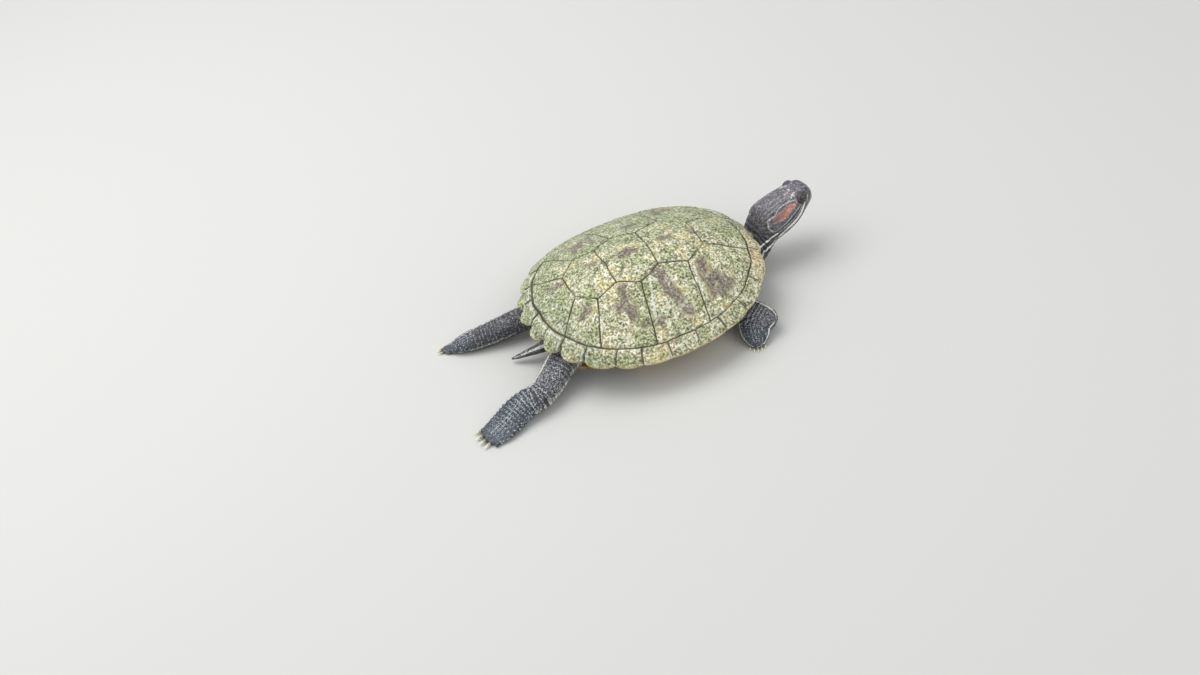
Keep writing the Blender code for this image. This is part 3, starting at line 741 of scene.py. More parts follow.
@dataclass
class UpperPlates:
    """The five vertebral and eight costal plates: horn, grooved round each, with a low keel down the back."""

    form: ShellForm
    # The corners of the vertebral plates on the left, and the ends of the seams between costals in degrees
    corners: tuple = (
        (50.5, 15.0), (31.0, 27.0), (9.5, 21.0), (-9.5, 29.0), (-27.0, 21.0), (-45.0, 25.0), (-59.0, 12.0),
    )
    costal_seams: tuple = (17.0, 76.0, 101.0, 131.0, 154.5)
    # Where the crust has rubbed off the horn: middle in plan, half length, half width, strength
    patches: tuple = (
        (-26, -32, 3, 6, 1), (-31, -40, 6.5, 4.5, 1), (-26, -46, 4.5, 6, 1), (4.5, -27, 3, 5, 1),
        (7, -34, 4, 6, 1), (8, -43, 4.5, 6, 1), (11, -50, 4.5, 5, 1), (40.6, -34, 4, 5.5, 1),
        (42.5, -44, 7.5, 7, 0.9), (50, -51, 7.5, 7, 0.9), (42, -55, 6, 5.5, 0.85),
        (-22.8, -59, 4.5, 3.5, 1), (-11.3, -62, 3, 4, 0.85), (14, -61, 5, 4, 0.75),
        (-8, -0.6, 8, 4.5, 1), (26, 0.4, 7, 3.4, 1), (-35, 6.4, 6, 3, 0.85), (48, 0, 4, 3, 0.75),
        (-57.6, -28, 5, 4, 1), (8.5, 36, 7, 4, 0.8), (-30, 42, 9, 7, 0.75), (42, 48, 9, 7, 0.7),
        (-65, 9, 6, 3, 0.7),
    )
    # How far the worn patches' edges wander
    fray: float = 3.4
    # Pale scratches beside the seams: half width, then points in plan
    strokes: tuple = (
        (1.7, ((-1.7, -27.9), (-4.5, -34.5), (-6.9, -40.9), (-10, -49), (-12.5, -56))),
        (1.0, ((33.3, -31.8), (31.5, -41), (29.5, -50), (28, -58))),
        (1.3, ((-3, -57), (-6, -54.5), (-1, -51.5))),
        (0.8, ((-26, 34), (-29, 44), (-32, 55))),
    )
    thickness: float = 3.0
    spacing: float = 1.05
    rings: int = 34
    crowding: float = 1.6  # how much closer the rings of points stand at a plate's edge
    sink: float = 0.95
    swell: float = 0.4
    groove_depth: float = 0.7
    groove_width: float = 0.62
    growth: tuple = (0.09, 2.9)  # height and spacing of the growth lines
    keel: tuple = (0.3, 5.0)  # height and half width
    # How far the dark of a seam reaches, and what the back adds
    seam_reach: tuple = (0.78, 0.5)
    streak_width: float = 1.9
    streak_stretch: float = 0.15

    def arc(self, start: float, end: float) -> Array:
        """Points in plan along the ring of marginal plates, between two angles in degrees."""
        angles = np.radians(np.linspace(start, end, max(3, int(abs(end - start)))))
        return self.form.plan(angles, self.form.ring(angles))

    def outlines(self) -> dict[str, Array]:
        """Finds the plates' corners.

        Returns:
            Every plate's outline in plan, under the name of its solid.
        """
        left = np.array(self.corners)
        right = left * (1, -1)
        front, back = self.costal_seams[0], self.costal_seams[-1]
        shapes = {
            "vertebral_1": np.vstack([self.arc(-front, front), left[:1], right[:1]]),
            "vertebral_5": np.vstack([self.arc(back, 360 - back), right[-1:], left[-1:]]),
        }
        for k in range(3):
            ends = slice(2 * k, 2 * k + 3)
            shapes[f"vertebral_{k + 2}"] = np.vstack([left[ends], right[ends][::-1]])
        for k, meet in enumerate(((0, 1), (1, 2, 3), (3, 4, 5), (5, 6))):
            for side, sign in SIDES:
                arc = self.arc(sign * self.costal_seams[k], sign * self.costal_seams[k + 1])
                inner = (left if sign > 0 else right)[list(meet)][::-1]
                shapes[f"costal_{side}_{k + 1}"] = np.vstack([arc, inner])
        return shapes

    def relief(self, flat: Array, edge: Array, middle: bool) -> Array:
        """How far the horn stands above its lowered base.

        Args:
            flat: Points in plan.
            edge: Their distances from the plate's edge.
            middle: Whether the plate lies on the back's middle line.

        Returns:
            Heights in millimetres.
        """
        swell = self.swell * (1 - np.exp(-edge / 5))
        groove = self.groove_depth * bump(edge, self.groove_width)
        high, apart = self.growth
        rings = high * np.sin(TURN * edge / apart + 1.2 * rough(flat, 12, 5)) * np.exp(-edge / 11)
        crust = 0.2 * rough(flat, 2.6, 41, 2) + 0.28 * rough(flat, 11, 43, 2)
        keel = self.keel[0] * bump(flat[:, 1], self.keel[1]) if middle else 0.0
        return swell - groove + rings + crust + keel

    def build_plate(self, name: str, outline: Array) -> Piece:
        """Makes one plate as a closed shell.

        Args:
            name: The plate's name.
            outline: Its corners in plan.

        Returns:
            The piece.
        """
        border = resampled(outline, self.spacing)
        along = unit(np.roll(border, -1, axis=0) - np.roll(border, 1, axis=0))
        inward = np.column_stack([-along[:, 1], along[:, 0]])
        middle = border.mean(axis=0)
        inward *= np.sign(((middle - border) * inward).sum())
        border = border + inward * GAP / 2
        shares = 1 - (1 - np.linspace(0, 1, self.rings + 1)[1:]) ** self.crowding
        flat = self.form.settle(np.vstack([middle] + [middle + (border - middle) * t for t in shares]))
        count = len(border)
        edge = segment_distance(flat, flat[-count:], closed=True)[0]
        base = self.form.height(flat) - self.sink
        upper = np.column_stack([flat, base + self.relief(flat, edge, "vertebral" in name)])
        lower = np.column_stack([flat, base - self.thickness])
        kept = (self.rings, 2 * self.rings // 3, self.rings // 3)
        below = np.concatenate([1 + (ring - 1) * count + np.arange(count) for ring in kept])
        rings = np.vstack([upper[1:], lower[below]]).reshape(-1, count, 3)
        piece = mesh_piece(name + "_horn", *capped(rings, upper[0], lower[0]))
        order = np.concatenate([np.arange(1, len(flat)), below, [0, 0]])
        stretch = (1.0, self.streak_stretch) if "costal" in name else (self.streak_stretch, 1.0)
        self.mark(piece, flat[order], edge[order], stretch)
        return piece

    def mark(self, piece: Piece, flat: Array, edge: Array, stretch: tuple[float, float]) -> None:
        """Stores where the seams, the scratches, the worn patches and the painted shade of the far side lie.

        Args:
            piece: The plate.
            flat: Its points in plan.
            edge: Their distances from the plate's edge.
            stretch: How the scratches run: the scales of their pattern along and across the back.
        """
        streaks = rough(flat * stretch, self.streak_width, 61, 2)
        ragged = flat + self.fray * np.column_stack([rough(flat, 4.5, 53), rough(flat, 4.5, 57)])
        x, y, half_length, half_width, strength = np.array(self.patches).T
        out = np.hypot((ragged[:, :1] - x) / half_length, (ragged[:, 1:] - y) / half_width)
        worn = (strength * (1.15 - 0.75 * out)).max(axis=1)
        reach = self.seam_reach[0] + self.seam_reach[1] * smoothstep(-45, -80, flat[:, 0])
        scratch = 0.6 * smoothstep(0.25, 0.6, streaks) * smoothstep(-0.1, 0.4, rough(flat, 8, 69))
        for width, line in self.strokes:
            apart = segment_distance(flat, np.array(line))[0] + 1.1 * rough(flat, 3, 71, 2)
            scratch = np.maximum(scratch, smoothstep(width, 0.2 * width, apart))
        store(
            piece,
            bare=np.clip(1.1 * worn + 0.3 * rough(flat, 6, 51) + 0.6 * streaks, 0, 1),
            seam=np.clip(1.1 - edge / reach, 0, 1) * (0.85 + 0.5 * rough(flat, 9, 67, 2)),
            scratch=scratch * smoothstep(0.6, 1.1, edge),
            # painted shade on the far left side and the back
            far=far_side_shade(flat),
        )

    def build(self, material: Material) -> None:
        """Makes and dresses every plate."""
        for name, outline in self.outlines().items():
            finish_piece(self.build_plate(name, outline), material, "algae_clad_keratin", name)


@dataclass
class Rim:
    """The ring of marginal plates, each with a bowed edge, and most deeply scalloped at the back."""

    form: ShellForm
    seams: tuple = (15.0, 38.0, 57.0, 72.0, 85.0, 96.0, 109.0, 122.0, 139.0, 154.0, 167.0)
    nuchal_half_angle: float = 3.4
    # Depth of the scallops in percent of the way out: at the sides, and what the front and back add
    scallop: tuple = (1.0, 0.9, 5.4)
    # Degrees between rows of points, and the rows on each side of a seam
    step: float = 0.58
    seam_rows: tuple = (0.0, 0.18, 0.42, 0.75, 1.15)
    root: float = 5.0
    # The blunt edge in section: (share of the way out beyond the edge, height above the lip)
    lip: tuple = ((-0.016, 1.5), (-0.006, 0.35), (0.0, -0.9), (-0.006, -2.3), (-0.02, -3.0))
    # Points round the section: on top, round the edge and below
    rounds: tuple = (14, 13, 10)
    sink: float = 0.35
    groove_depth: float = 0.85
    groove_width: float = 0.65
    # How far the dark of a seam reaches, between plates and along their inner ends, and what the back adds
    seam_reach: tuple = (1.2, 0.6, 0.6)
    # Distance of the pale growth line from the seams, and its half width
    line: tuple = (2.3, 0.6)

    def edge_share(self, theta: Array) -> Array:
        """How far out the edge stands at an angle, bowed from seam to seam."""
        angle = np.abs(np.degrees(theta))
        marks = np.array([-self.nuchal_half_angle, self.nuchal_half_angle, *self.seams, 180.0])
        before = np.clip(np.searchsorted(marks, angle) - 1, 0, len(marks) - 2)
        half = (marks[before + 1] - marks[before]) / 2
        apart = np.abs(angle - marks[before] - half) / half
        side, front, back = self.scallop
        depth = side + front * np.maximum(0, np.cos(theta)) ** 4 + back * np.maximum(0, -np.cos(theta)) ** 1.3
        return 1 - depth / 100 * apart**2.1

    def angles(self, first: float, last: float) -> Array:
        """Angles of the rows of points, closer together at each seam, for a sharp groove.

        Args:
            first: Start in degrees from the nose.
            last: End in degrees.

        Returns:
            Angles in radians from first to last.
        """
        low, high = sorted((first, last))
        marks = np.array([*self.seams, *(-seam for seam in self.seams)])
        close = (marks[:, None] + np.array([*self.seam_rows, *(-row for row in self.seam_rows)])).ravel()
        even = np.arange(low, high, self.step)
        even = even[np.abs(even[:, None] - marks).min(axis=1) > self.seam_rows[-1] + self.step / 2]
        found = np.concatenate([[low], even, close, [high]])
        found = np.unique(found[(found >= low) & (found <= high)])
        return np.radians(found if first < last else found[::-1])

    def section(self, theta: Array) -> tuple[Array, Array, Array]:
        """Points round the plates at every angle, from the inner end of the top to the inner end below.

        Args:
            theta: Angles from the nose.

        Returns:
            Shares of the way out, heights, and how far each point lies towards the underside; a row an angle.
        """
        edge, angle = self.edge_share(theta)[:, None], theta[:, None]
        inner = self.form.ring(angle) + 2 * GAP / self.form.length
        above, at_edge, below = self.rounds
        top = inner + (edge + self.lip[0][0] - inner) * np.linspace(0, 1, above + 1)[:-1]
        out, lift = spline(np.array(self.lip), np.linspace(0, len(self.lip) - 1, at_edge)).T
        turn, height = edge + out, self.form.dome(angle, np.ones_like(angle)) + lift
        back, root = np.linspace(0, 1, below + 1)[1:], self.form.dome(angle, inner) - self.root
        rho = np.hstack([top, turn, turn[:, -1:] + (inner - turn[:, -1:]) * back])
        beneath = height[:, -1:] + (root - height[:, -1:]) * back
        height = np.hstack([self.form.dome(angle, top), height, beneath])
        under = np.concatenate([np.zeros(above), np.linspace(0, 1, at_edge), np.ones(below)])
        return rho, height, np.broadcast_to(under, rho.shape)

    def build_arc(self, name: str, first: float, last: float) -> Piece:
        """Makes the plates between two angles as one closed piece.

        Args:
            name: The piece's name.
            first: Start in degrees from the nose.
            last: End in degrees.

        Returns:
            The piece.
        """
        theta = self.angles(first, last)
        rho, height, under = self.section(theta)
        flat = self.form.settle(self.form.plan(theta[:, None], rho).reshape(-1, 2))
        angle = np.repeat(np.abs(np.degrees(theta)), rho.shape[1])
        seam = np.abs(angle[:, None] - np.array([*self.seams, 180.0])).min(axis=1)
        seam = np.radians(seam) * np.linalg.norm(flat, axis=1)
        edge = np.minimum(seam, (rho - rho[:, :1]).ravel() * self.form.width / 2)
        under = under.ravel()
        groove = self.groove_depth * bump(edge, self.groove_width) + 0.3 * np.exp(-seam / 3)
        relief = 0.2 * rough(flat, 2.6, 41, 2) + 0.2 * rough(flat, 9, 43, 2)
        lifted = height.ravel() + (relief - self.sink - groove) * (1 - under) + 0.3 * under * bump(seam, 0.8)
        points, faces = capped(np.column_stack([flat, lifted]).reshape(*rho.shape, 3))
        piece = mesh_piece(name, points, faces)
        out = ((rho - rho[:, :1]) / (1 - rho[:, :1])).ravel()
        marks = (np.append(values, (0.0, 0.0)) for values in (out, seam, edge, under))
        self.mark(piece, points[:, :2], *marks)
        return piece

    def mark(self, piece: Piece, flat: Array, out: Array, seam: Array, edge: Array, under: Array) -> None:
        """Stores where the seams, growth lines, pale edge, tan front, underside and its smudges lie, and the
        painted shade of the far side.

        Args:
            piece: The plates.
            flat: Their points in plan.
            out: How far out the points lie, from 0 at the plates' inner ends to 1.
            seam: Their distances from the seams between the plates.
            edge: Their distances from any seam.
            under: How far they lie towards the underside.
        """
        back = smoothstep(-40, -75, flat[:, 0])
        between_plates, along, more = self.seam_reach
        dark = 1.12 - np.minimum(seam / (between_plates + more * back), edge / (along + more * back))
        at, width = self.line
        lines = bump(edge - at, width) * np.maximum(smoothstep(0.0, 0.4, rough(flat, 14, 62)), back)
        front = smoothstep(70, 84, flat[:, 0]) * smoothstep(6, -6, flat[:, 1])
        store(
            piece,
            seam=np.clip(dark, 0, 1) * (1 - under) * (0.9 + 0.4 * rough(flat, 9, 67, 2)),
            edge=smoothstep(0.62, 1.0, out) * (0.6 + 0.6 * rough(flat, 9, 81)),
            # painted shade on the far left side and the back
            far=far_side_shade(flat),
            tan=front * (0.6 + 0.6 * rough(flat, 8, 91)),
            below=smoothstep(0.25, 0.6, under),
            smudge=bump(seam, 7) * smoothstep(1.05, 0.5, out),
            scratch=lines * (1 - under),
        )

    def build(self, material: Material) -> None:
        """Makes and dresses the two halves of the ring and the small nuchal plate in front."""
        clear = math.degrees(GAP / self.form.width)
        first, half = self.nuchal_half_angle + clear, self.nuchal_half_angle - clear
        arcs = [(f"marginal_rim_{side}", sign * first, sign * (180 - clear)) for side, sign in SIDES]
        for name, start, end in (*arcs, ("nuchal", -half, half)):
            finish_piece(self.build_arc(name + "_horn", start, end), material, "rim_keratin", name)


# ---------------------------------------------------------------- underside


@dataclass
class Underside:
    """The plastron's six pairs of plates, flat on the floor, and the two bridges up to the rim."""

    form: ShellForm
    thickness: float = 4.0
    front: float = 87.0
    back: float = -87.0
    half_width: float = 46.0
    lobe_tuck: float = 3.5
    bridge_front: float = 42.0
    bridge_back: float = -36.0
    seams: tuple = (
        ("gular", 87.0, 62.0), ("humeral", 62.0, 47.0), ("pectoral", 47.0, 19.0),
        ("abdominal", 19.0, -26.0), ("femoral", -26.0, -50.0), ("anal", -50.0, -87.0),
    )
    anal_notch: float = 6.0
    edge_round: float = 1.4
    groove: tuple = (0.35, 0.6)  # depth and half width
    mesh: tuple = (101, 41)  # points across a plate and along it
    # The bridge's wall in section: (share of the way out from plastron to rim, height)
    outside: tuple = ((0.0, 0.9), (0.21, 2.6), (0.39, 6.8), (0.64, 14.5))
    inside: tuple = ((0.0, 4.2), (0.16, 5.6), (0.31, 9.2), (0.56, 16.4))
    bridge_inset: float = 4.0
    bridge_drop: float = 3.4
    bridge_wall: float = 4.5
    bar_spacing: float = 13.0

    def lobe_width(self, x: Array) -> Array:
        """Half the plastron's width at x."""
        base = np.where(x > 0, self.bridge_front, self.bridge_back)
        end = np.where(x > 0, self.front, self.back)
        along = np.clip((x - base) / (end - base), 0.0, 1.0)
        return (self.half_width - self.lobe_tuck * np.minimum(1, 5 * along)) * (1 - along**2.3) ** 0.55

    def lobe_reach(self, y: Array, forward: bool) -> Array:
        """How far forward or back the plastron goes at a distance y from the middle."""
        end, base = (self.front, self.bridge_front) if forward else (self.back, self.bridge_back)
        x = np.linspace(end, base, 400)
        return np.interp(np.abs(y), self.lobe_width(x), x)

    def build_plate(self, name: str, front: float, back: float) -> Piece:
        """Makes one pair of plates.

        Args:
            name: The pair's name.
            front: Where its front seam runs.
            back: Where its back seam runs.

        Returns:
            The piece.
        """
        widest = float(self.lobe_width(np.linspace(back, front, 60)).max()) - 0.02
        y = widest * np.sin(np.linspace(-math.pi / 2, math.pi / 2, self.mesh[0]))
        ahead = np.minimum(front - GAP / 2, self.lobe_reach(y, True))
        behind = np.maximum(back + GAP / 2, self.lobe_reach(y, False))
        if name == "anal":
            behind = np.maximum(behind, self.back + self.anal_notch - np.abs(y))
        ahead = np.maximum(ahead, behind + 0.05)
        share = (1 - np.cos(np.linspace(0, math.pi, self.mesh[1]))) / 2
        x = behind[:, None] + (ahead - behind)[:, None] * share
        flat = np.column_stack([x.ravel(), np.repeat(y, len(share))])
        x_at, y_at = flat.T
        ends = x_at - self.lobe_reach(y_at, False), self.lobe_reach(y_at, True) - x_at
        outer = np.minimum(self.lobe_width(x_at) - np.abs(y_at), np.minimum(*ends))
        seam = np.minimum(x_at - back, front - x_at)
        seam = np.minimum(seam, np.abs(y_at + 1.2 * rough(flat, 22, 5)))
        bevel = self.edge_round * np.clip(1 - outer / self.edge_round, 0, 1) ** 2
        depth, width = self.groove
        low = bevel + depth * bump(seam, width) * (1 + 0.3 * rough(flat, 5, 7))
        high = np.full(len(low), self.thickness)
        sheets = [np.column_stack([flat, z]).reshape(*x.shape, 3) for z in (low, high)]
        piece = mesh_piece(f"plastron_{name}_horn", *slab(*sheets))
        along = (x_at - (front + back) / 2) / (0.36 * (front - back))
        smudge = np.clip(1.05 - 0.6 * np.hypot(along, (np.abs(y_at) - 0.45 * widest) / 11), 0, 1)
        store(piece, smudge=np.tile(smudge, 2), seam=np.tile(np.clip(1.1 - seam / 0.9, 0, 1), 2))
        return piece

    def build_bridge(self, side: str, sign: int) -> Piece:
        """Makes one bridge, the wall between the plastron and the rim.

        Args:
            side: left or right.
            sign: 1 for the left side and -1 for the right.

        Returns:
            The piece.
        """
        x = np.linspace(self.bridge_back, self.bridge_front, 61)
        low = self.half_width + GAP
        along = np.abs(2 * x / self.form.length) ** (2 / self.form.power_x)
        high = self.form.width / 2 * (1 - along) ** (self.form.power_y / 2) - self.bridge_inset
        top = self.form.rim_height(x) - self.bridge_drop
        at = np.linspace(0, len(self.outside), 25)
        sheets = []
        for keys, end, end_height in (
            (self.outside, high, top), (self.inside, high - self.bridge_wall, top + 0.8),
        ):
            share, z = np.array(keys).T[..., None]
            y = spline(np.vstack([low + share * (high - low), end]), at).T
            z = spline(np.vstack([z + 0 * x, end_height]), at).T
            sheets.append(np.stack([np.broadcast_to(x[:, None], y.shape), sign * y, z], axis=-1))
        points, faces = slab(*sheets)
        piece = mesh_piece(f"bridge_{side}_horn", points, faces)
        bars = 0.5 + 0.5 * np.cos((points[:, 0] - 3) / self.bar_spacing * TURN)
        store(piece, smudge=bars * smoothstep(2, 9, points[:, 2]))
        return piece

    def build(self, material: Material) -> None:
        """Makes and dresses the plates and both bridges."""
        made = {f"plastron_{name}": self.build_plate(name, *ends) for name, *ends in self.seams}
        made |= {f"bridge_{side}": self.build_bridge(side, sign) for side, sign in SIDES}
        for node, piece in made.items():
            finish_piece(piece, material, "plastron_keratin", node)


# ---------------------------------------------------------------- flesh: forms


def ovals(centres: Array, forward: Array, sizes: Array, around: int) -> Array:
    """Sections across a limb, squarer than ellipses, each with its own height above and below.

    Args:
        centres: The middles, one to a row.
        forward: The directions in which the limb runs.
        sizes: Half width, height above and height below, one row a section.
        around: Points round a section.

    Returns:
        Points in sections.
    """
    side, up = axes_across(forward)
    angle = TURN * np.arange(around) / around
    across, lift = signed_power(np.cos(angle), 0.85), signed_power(np.sin(angle), 0.85)
    height = np.where(lift > 0, sizes[:, 1:2], sizes[:, 2:3]) * lift
    width = sizes[:, :1] * across
    return centres[:, None] + side[:, None] * width[..., None] + up[:, None] * height[..., None]


def tube(sections: Array, forward: Array, blunt: float) -> Body:
    """Closes sections into one body with a rounded far end.

    Args:
        sections: Points in sections.
        forward: The direction of the far end.
        blunt: How far the rounding reaches beyond the last section.

    Returns:
        Points and faces.
    """
    last = sections[-1]
    middle = last.mean(axis=0)
    rounds = [middle + (last - middle) * math.sqrt(1 - t * t) + forward * blunt * t for t in (0.4, 0.7, 0.9)]
    return capped(np.concatenate([sections, np.array(rounds)]), end=middle + forward * blunt)


@dataclass(frozen=True)
class Located:
    """Places on a limb: the run along it, its length, the angle round it and the reach from its middle."""

    run: Array
    length: float
    angle: Array
    reach: Array

    @property
    def share(self) -> Array:
        """The run as a share of the limb's length."""
        return self.run / self.length

    def on_limb(self, reach: float = 1.2) -> Array:
        """1 at places within a reach of the middle line, and 0 well away from it."""
        return smoothstep(1.5, reach, self.reach)

    def facing(self, degrees: float, spread: float) -> Array:
        """How near places are to one side of the limb, 1 on it and 0 away from it."""
        apart = np.angle(np.exp(1j * (self.angle - math.radians(degrees))))
        return bump(apart, math.radians(spread))


Places = dict[str, Located]  # where points lie on each limb, by its name


@dataclass(frozen=True)
class Limb:
    """A leg, hand, toe or tail: an oval tube along a bent line.

    Each key is (x, y, z, half width, height above, height below).
    """

    name: str
    keys: tuple
    blunt: float = 1.2
    coat: float = 0.45

    def rows(self, count: int) -> Array:
        """Key values at even places along the limb."""
        return spline(np.array(self.keys, float), np.linspace(0, len(self.keys) - 1, count))

    def forward(self, centres: Array) -> Array:
        """The direction in which the limb runs at each place."""
        return unit(np.gradient(centres, axis=0))

    def body(self, count: int = 60, around: int = 40) -> Body:
        """The limb as a closed tube, thinner than its solid by the depth of the coat."""
        rows = self.rows(count)
        forward = self.forward(rows[:, :3])
        sizes = np.maximum(rows[:, 3:6] - self.coat, 0.5)
        return tube(ovals(rows[:, :3], forward, sizes, around), forward[-1], self.blunt)

    def locate(self, points: Array) -> Located:
        """Finds where points lie on the limb.

        Args:
            points: Points in the shell's axes.

        Returns:
            Their places.
        """
        rows = self.rows(50)
        centres, index = rows[:, :3], np.arange(len(rows))
        place = segment_distance(points, centres)[1]
        at = between(place, index, rows)
        forward = unit(between(place, index, self.forward(centres)))
        off = points - at[:, :3]
        across, lift, beyond = ((off * way).sum(axis=1) for way in (*axes_across(forward), forward))
        across, lift = across / at[:, 3], lift / np.where(lift > 0, at[:, 4], at[:, 5])
        reach = np.sqrt(across**2 + lift**2 + (beyond / 4) ** 2)
        run = run_along(centres)
        along = np.interp(place, index, run) + np.maximum(beyond, 0)
        return Located(along, run[-1], np.arctan2(lift, across), reach)


@dataclass(frozen=True)
class Foot:
    """The toes at the end of a leg, fanned across it, with a claw on all but the hind foot's last."""

    name: str
    leg: Limb
    fan: float
    setback: float
    radius: float
    length: float
    claws: int
    toes: int = 5
    # (share of the way along, thickness in radii) of a toe with its knuckle, and (place, width) of the web
    toe: tuple = ((-0.9, 0.8), (-0.4, 0.95), (0.1, 1.02), (0.45, 0.86), (0.75, 0.92), (1.0, 0.6))
    web: tuple = ((-5.0, 0.9), (-2.0, 0.92))
    web_thickness: float = 0.95

    def end(self) -> tuple[Array, Array]:
        """The end of the leg and its level way forward."""
        end, before = (np.array(self.leg.keys[k][:3], float) for k in (-1, -2))
        return end, unit((end - before) * (1, 1, 0))

    def digits(self) -> list[tuple[Array, Array]]:
        """Fans the toes across the end of the leg.

        Returns:
            Where each toe starts, with the way it points.
        """
        end, forward = self.end()
        side = np.array([-forward[1], forward[0], 0.0])
        half = self.leg.keys[-1][3] - self.radius * 0.7
        found = []
        for across in 2 * np.arange(self.toes) / (self.toes - 1) - 1:
            turn = math.radians(self.fan) * across
            start = end + side * across * half - forward * (2.0 + across**2 * self.setback)
            start[2] = self.radius * 0.9
            found.append((start, forward * math.cos(turn) + side * math.sin(turn)))
        return found

    def bodies(self) -> list[Body]:
        """The toes and the web between them."""
        made, r = [], self.radius - 0.15
        for start, direction in self.digits():
            keys = tuple((*(start + direction * t * self.length), r * w, r * w, r * w) for t, w in self.toe)
            made.append(Limb("toe", keys, blunt=0.4, coat=0.0).body(24, 16))
        end, forward = self.end()
        level, width, thick = self.radius * 0.75, self.leg.keys[-1][3], self.web_thickness
        places = (*self.web, (self.length * 0.35 - 2.0, 0.9))
        keys = tuple((*(end[:2] + forward[:2] * t), level, width * w, thick, thick) for t, w in places)
        return [*made, Limb("web", keys, blunt=0.4, coat=0.0).body(12, 40)]


@dataclass(frozen=True)
class HeadForm:
    """The head and neck, and the head's own axes: X forward, Y to its left, Z up from its middle."""

    centre: tuple = (128.6, 4.0, 41.2)
    pitch: float = 14.0
    yaw: float = 5.5
    coat: float = 0.45
    # (x, y, z, half width, above, below, lean) of the neck
    neck: tuple = (
        (58, 1, 18, 17.0, 11.0, 11.5, 0), (78, 1.5, 18, 17.5, 11.5, 11.5, 0),
        (92, 2.5, 18, 18.0, 11.6, 11.5, 0), (101, 3, 18.2, 17.8, 11.8, 11.5, 0),
        (105, 2.8, 23, 17.4, 13.0, 13.0, 4),
        (109, 2.8, 30, 17.4, 13.6, 14.0, 8), (113, 3.0, 35.8, 17.8, 13.6, 15.2, 12),
    )
    # (forward, axis height, half width, above, below) of the head, in its own axes
    head: tuple = (
        (-10.0, 0.0, 18.0, 13.6, 15.6), (-2.0, 0.0, 17.9, 13.9, 15.4), (6.0, 0.2, 16.8, 13.8, 14.4),
        (13.0, 0.5, 14.4, 13.4, 12.3), (19.0, 0.8, 11.8, 12.9, 10.4), (24.0, 0.8, 9.4, 11.7, 8.9),
        (26.8, 0.4, 7.4, 9.9, 7.8), (28.2, 0.0, 5.2, 7.8, 6.0),
    )
    snout: tuple = (0.9, 0.0, -0.4)
    eye_place: tuple = (17.2, 9.2, 7.5)
    mouth_back: tuple = (3.0, -6.0)
    mouth_front: tuple = (29.0, 1.0)

    @property
    def axes(self) -> Array:
        """The head's X, Y and Z axes in the shell's axes, one to a row."""
        p, w = math.radians(self.pitch), math.radians(self.yaw)
        return np.array([
            [math.cos(p) * math.cos(w), math.cos(p) * math.sin(w), math.sin(p)],
            [-math.sin(w), math.cos(w), 0.0],
            [-math.sin(p) * math.cos(w), -math.sin(p) * math.sin(w), math.cos(p)],
        ])

    def to_shell(self, local: Array) -> Array:
        """Points in the shell's axes, from the head's."""
        return np.asarray(local, float) @ self.axes + self.centre

    def to_local(self, points: Array) -> Array:
        """Points in the head's axes, from the shell's."""
        return (points - self.centre) @ self.axes.T

    @property
    def mouth_slope(self) -> float:
        """How the mouth line climbs towards the snout."""
        return (self.mouth_front[1] - self.mouth_back[1]) / (self.mouth_front[0] - self.mouth_back[0])

    def mouth_height(self, x: Array) -> Array:
        """The mouth line's height at x in the head's axes."""
        return self.mouth_back[1] + self.mouth_slope * (x - self.mouth_back[0])

    def eye_centre(self, sign: int) -> Array:
        """The middle of the left (1) or right (-1) eye in the head's axes."""
        return np.array(self.eye_place) * (1, sign, 1)

    def gaze(self, sign: int) -> Array:
        """The way an eye looks, in the head's axes."""
        return unit(np.array([0.1, sign * 0.88, 0.42]))

    def rows(self, count: int) -> Array:
        """Key values at even places from the neck's root to the snout."""
        keys = [list(key) for key in self.neck]
        for forward, height, *sizes in self.head:
            keys.append([*self.to_shell((forward, 0, height)), *sizes, self.pitch])
        return spline(np.array(keys), np.linspace(0, len(keys) - 1, count))

    def body(self) -> Body:
        """The neck and head as one closed tube."""
        rows = self.rows(110)
        lean, yaw = np.radians(rows[:, 6]), math.radians(self.yaw)
        forward = np.column_stack([np.cos(lean) * math.cos(yaw), np.cos(lean) * math.sin(yaw), np.sin(lean)])
        sections = ovals(rows[:, :3], forward, rows[:, 3:6] - self.coat, 64)
        return tube(sections, unit(np.array(self.snout)) @ self.axes, 1.1)


# ---------------------------------------------------------------- flesh: the skin


class Mark(Enum):
    """The kinds of marking on the skin, and the painted shade round the eyes, by the name of the number that
    stores them.
    """

    RED = "red"
    CREAM = "cream"
    GREY = "grey"
    DARK = "dark"
    RUST = "rust"


@dataclass(frozen=True)
class Stripe:
    """A painted line on the head or neck, through points in the head's axes, and again lower on the left."""

    mark: Mark
    points: tuple
    width: tuple
    strength: float = 1.0
    soft: float = 0.35
    ragged: float = 0.15
    left_drop: float = 4.5

    def share(self, local: Array, skin: BVHTree, head: HeadForm) -> Array:
        """How strongly the stripe shows.

        Args:
            local: Points in the head's axes.
            skin: The skin, onto which the stripe is laid.
            head: The head, for its axes.

        Returns:
            Values from 0 to its strength.
        """
        keys = np.array(self.points, float)
        smooth = spline(keys, np.linspace(0, len(keys) - 1, 4 * len(keys)))
        places = np.linspace(0, 1, len(self.width))
        best = np.zeros(len(local))
        fray = self.ragged * rough(local, 2.4, 73)
        for sign, drop in ((1, 0.0), (-1, self.left_drop)):
            row = PLACE.to_row(head.to_shell(smooth * (1, sign, 1) - (0, 0, drop)))
            near = np.array([skin.find_nearest(Vector(point))[0] for point in row])
            distance, place = segment_distance(local, head.to_local(PLACE.from_row(near)))
            half = np.interp(place / (len(near) - 1), places, self.width) / 2
            best = np.maximum(best, 1 - smoothstep(-self.soft, self.soft, distance + fray - half))
        return self.strength * best


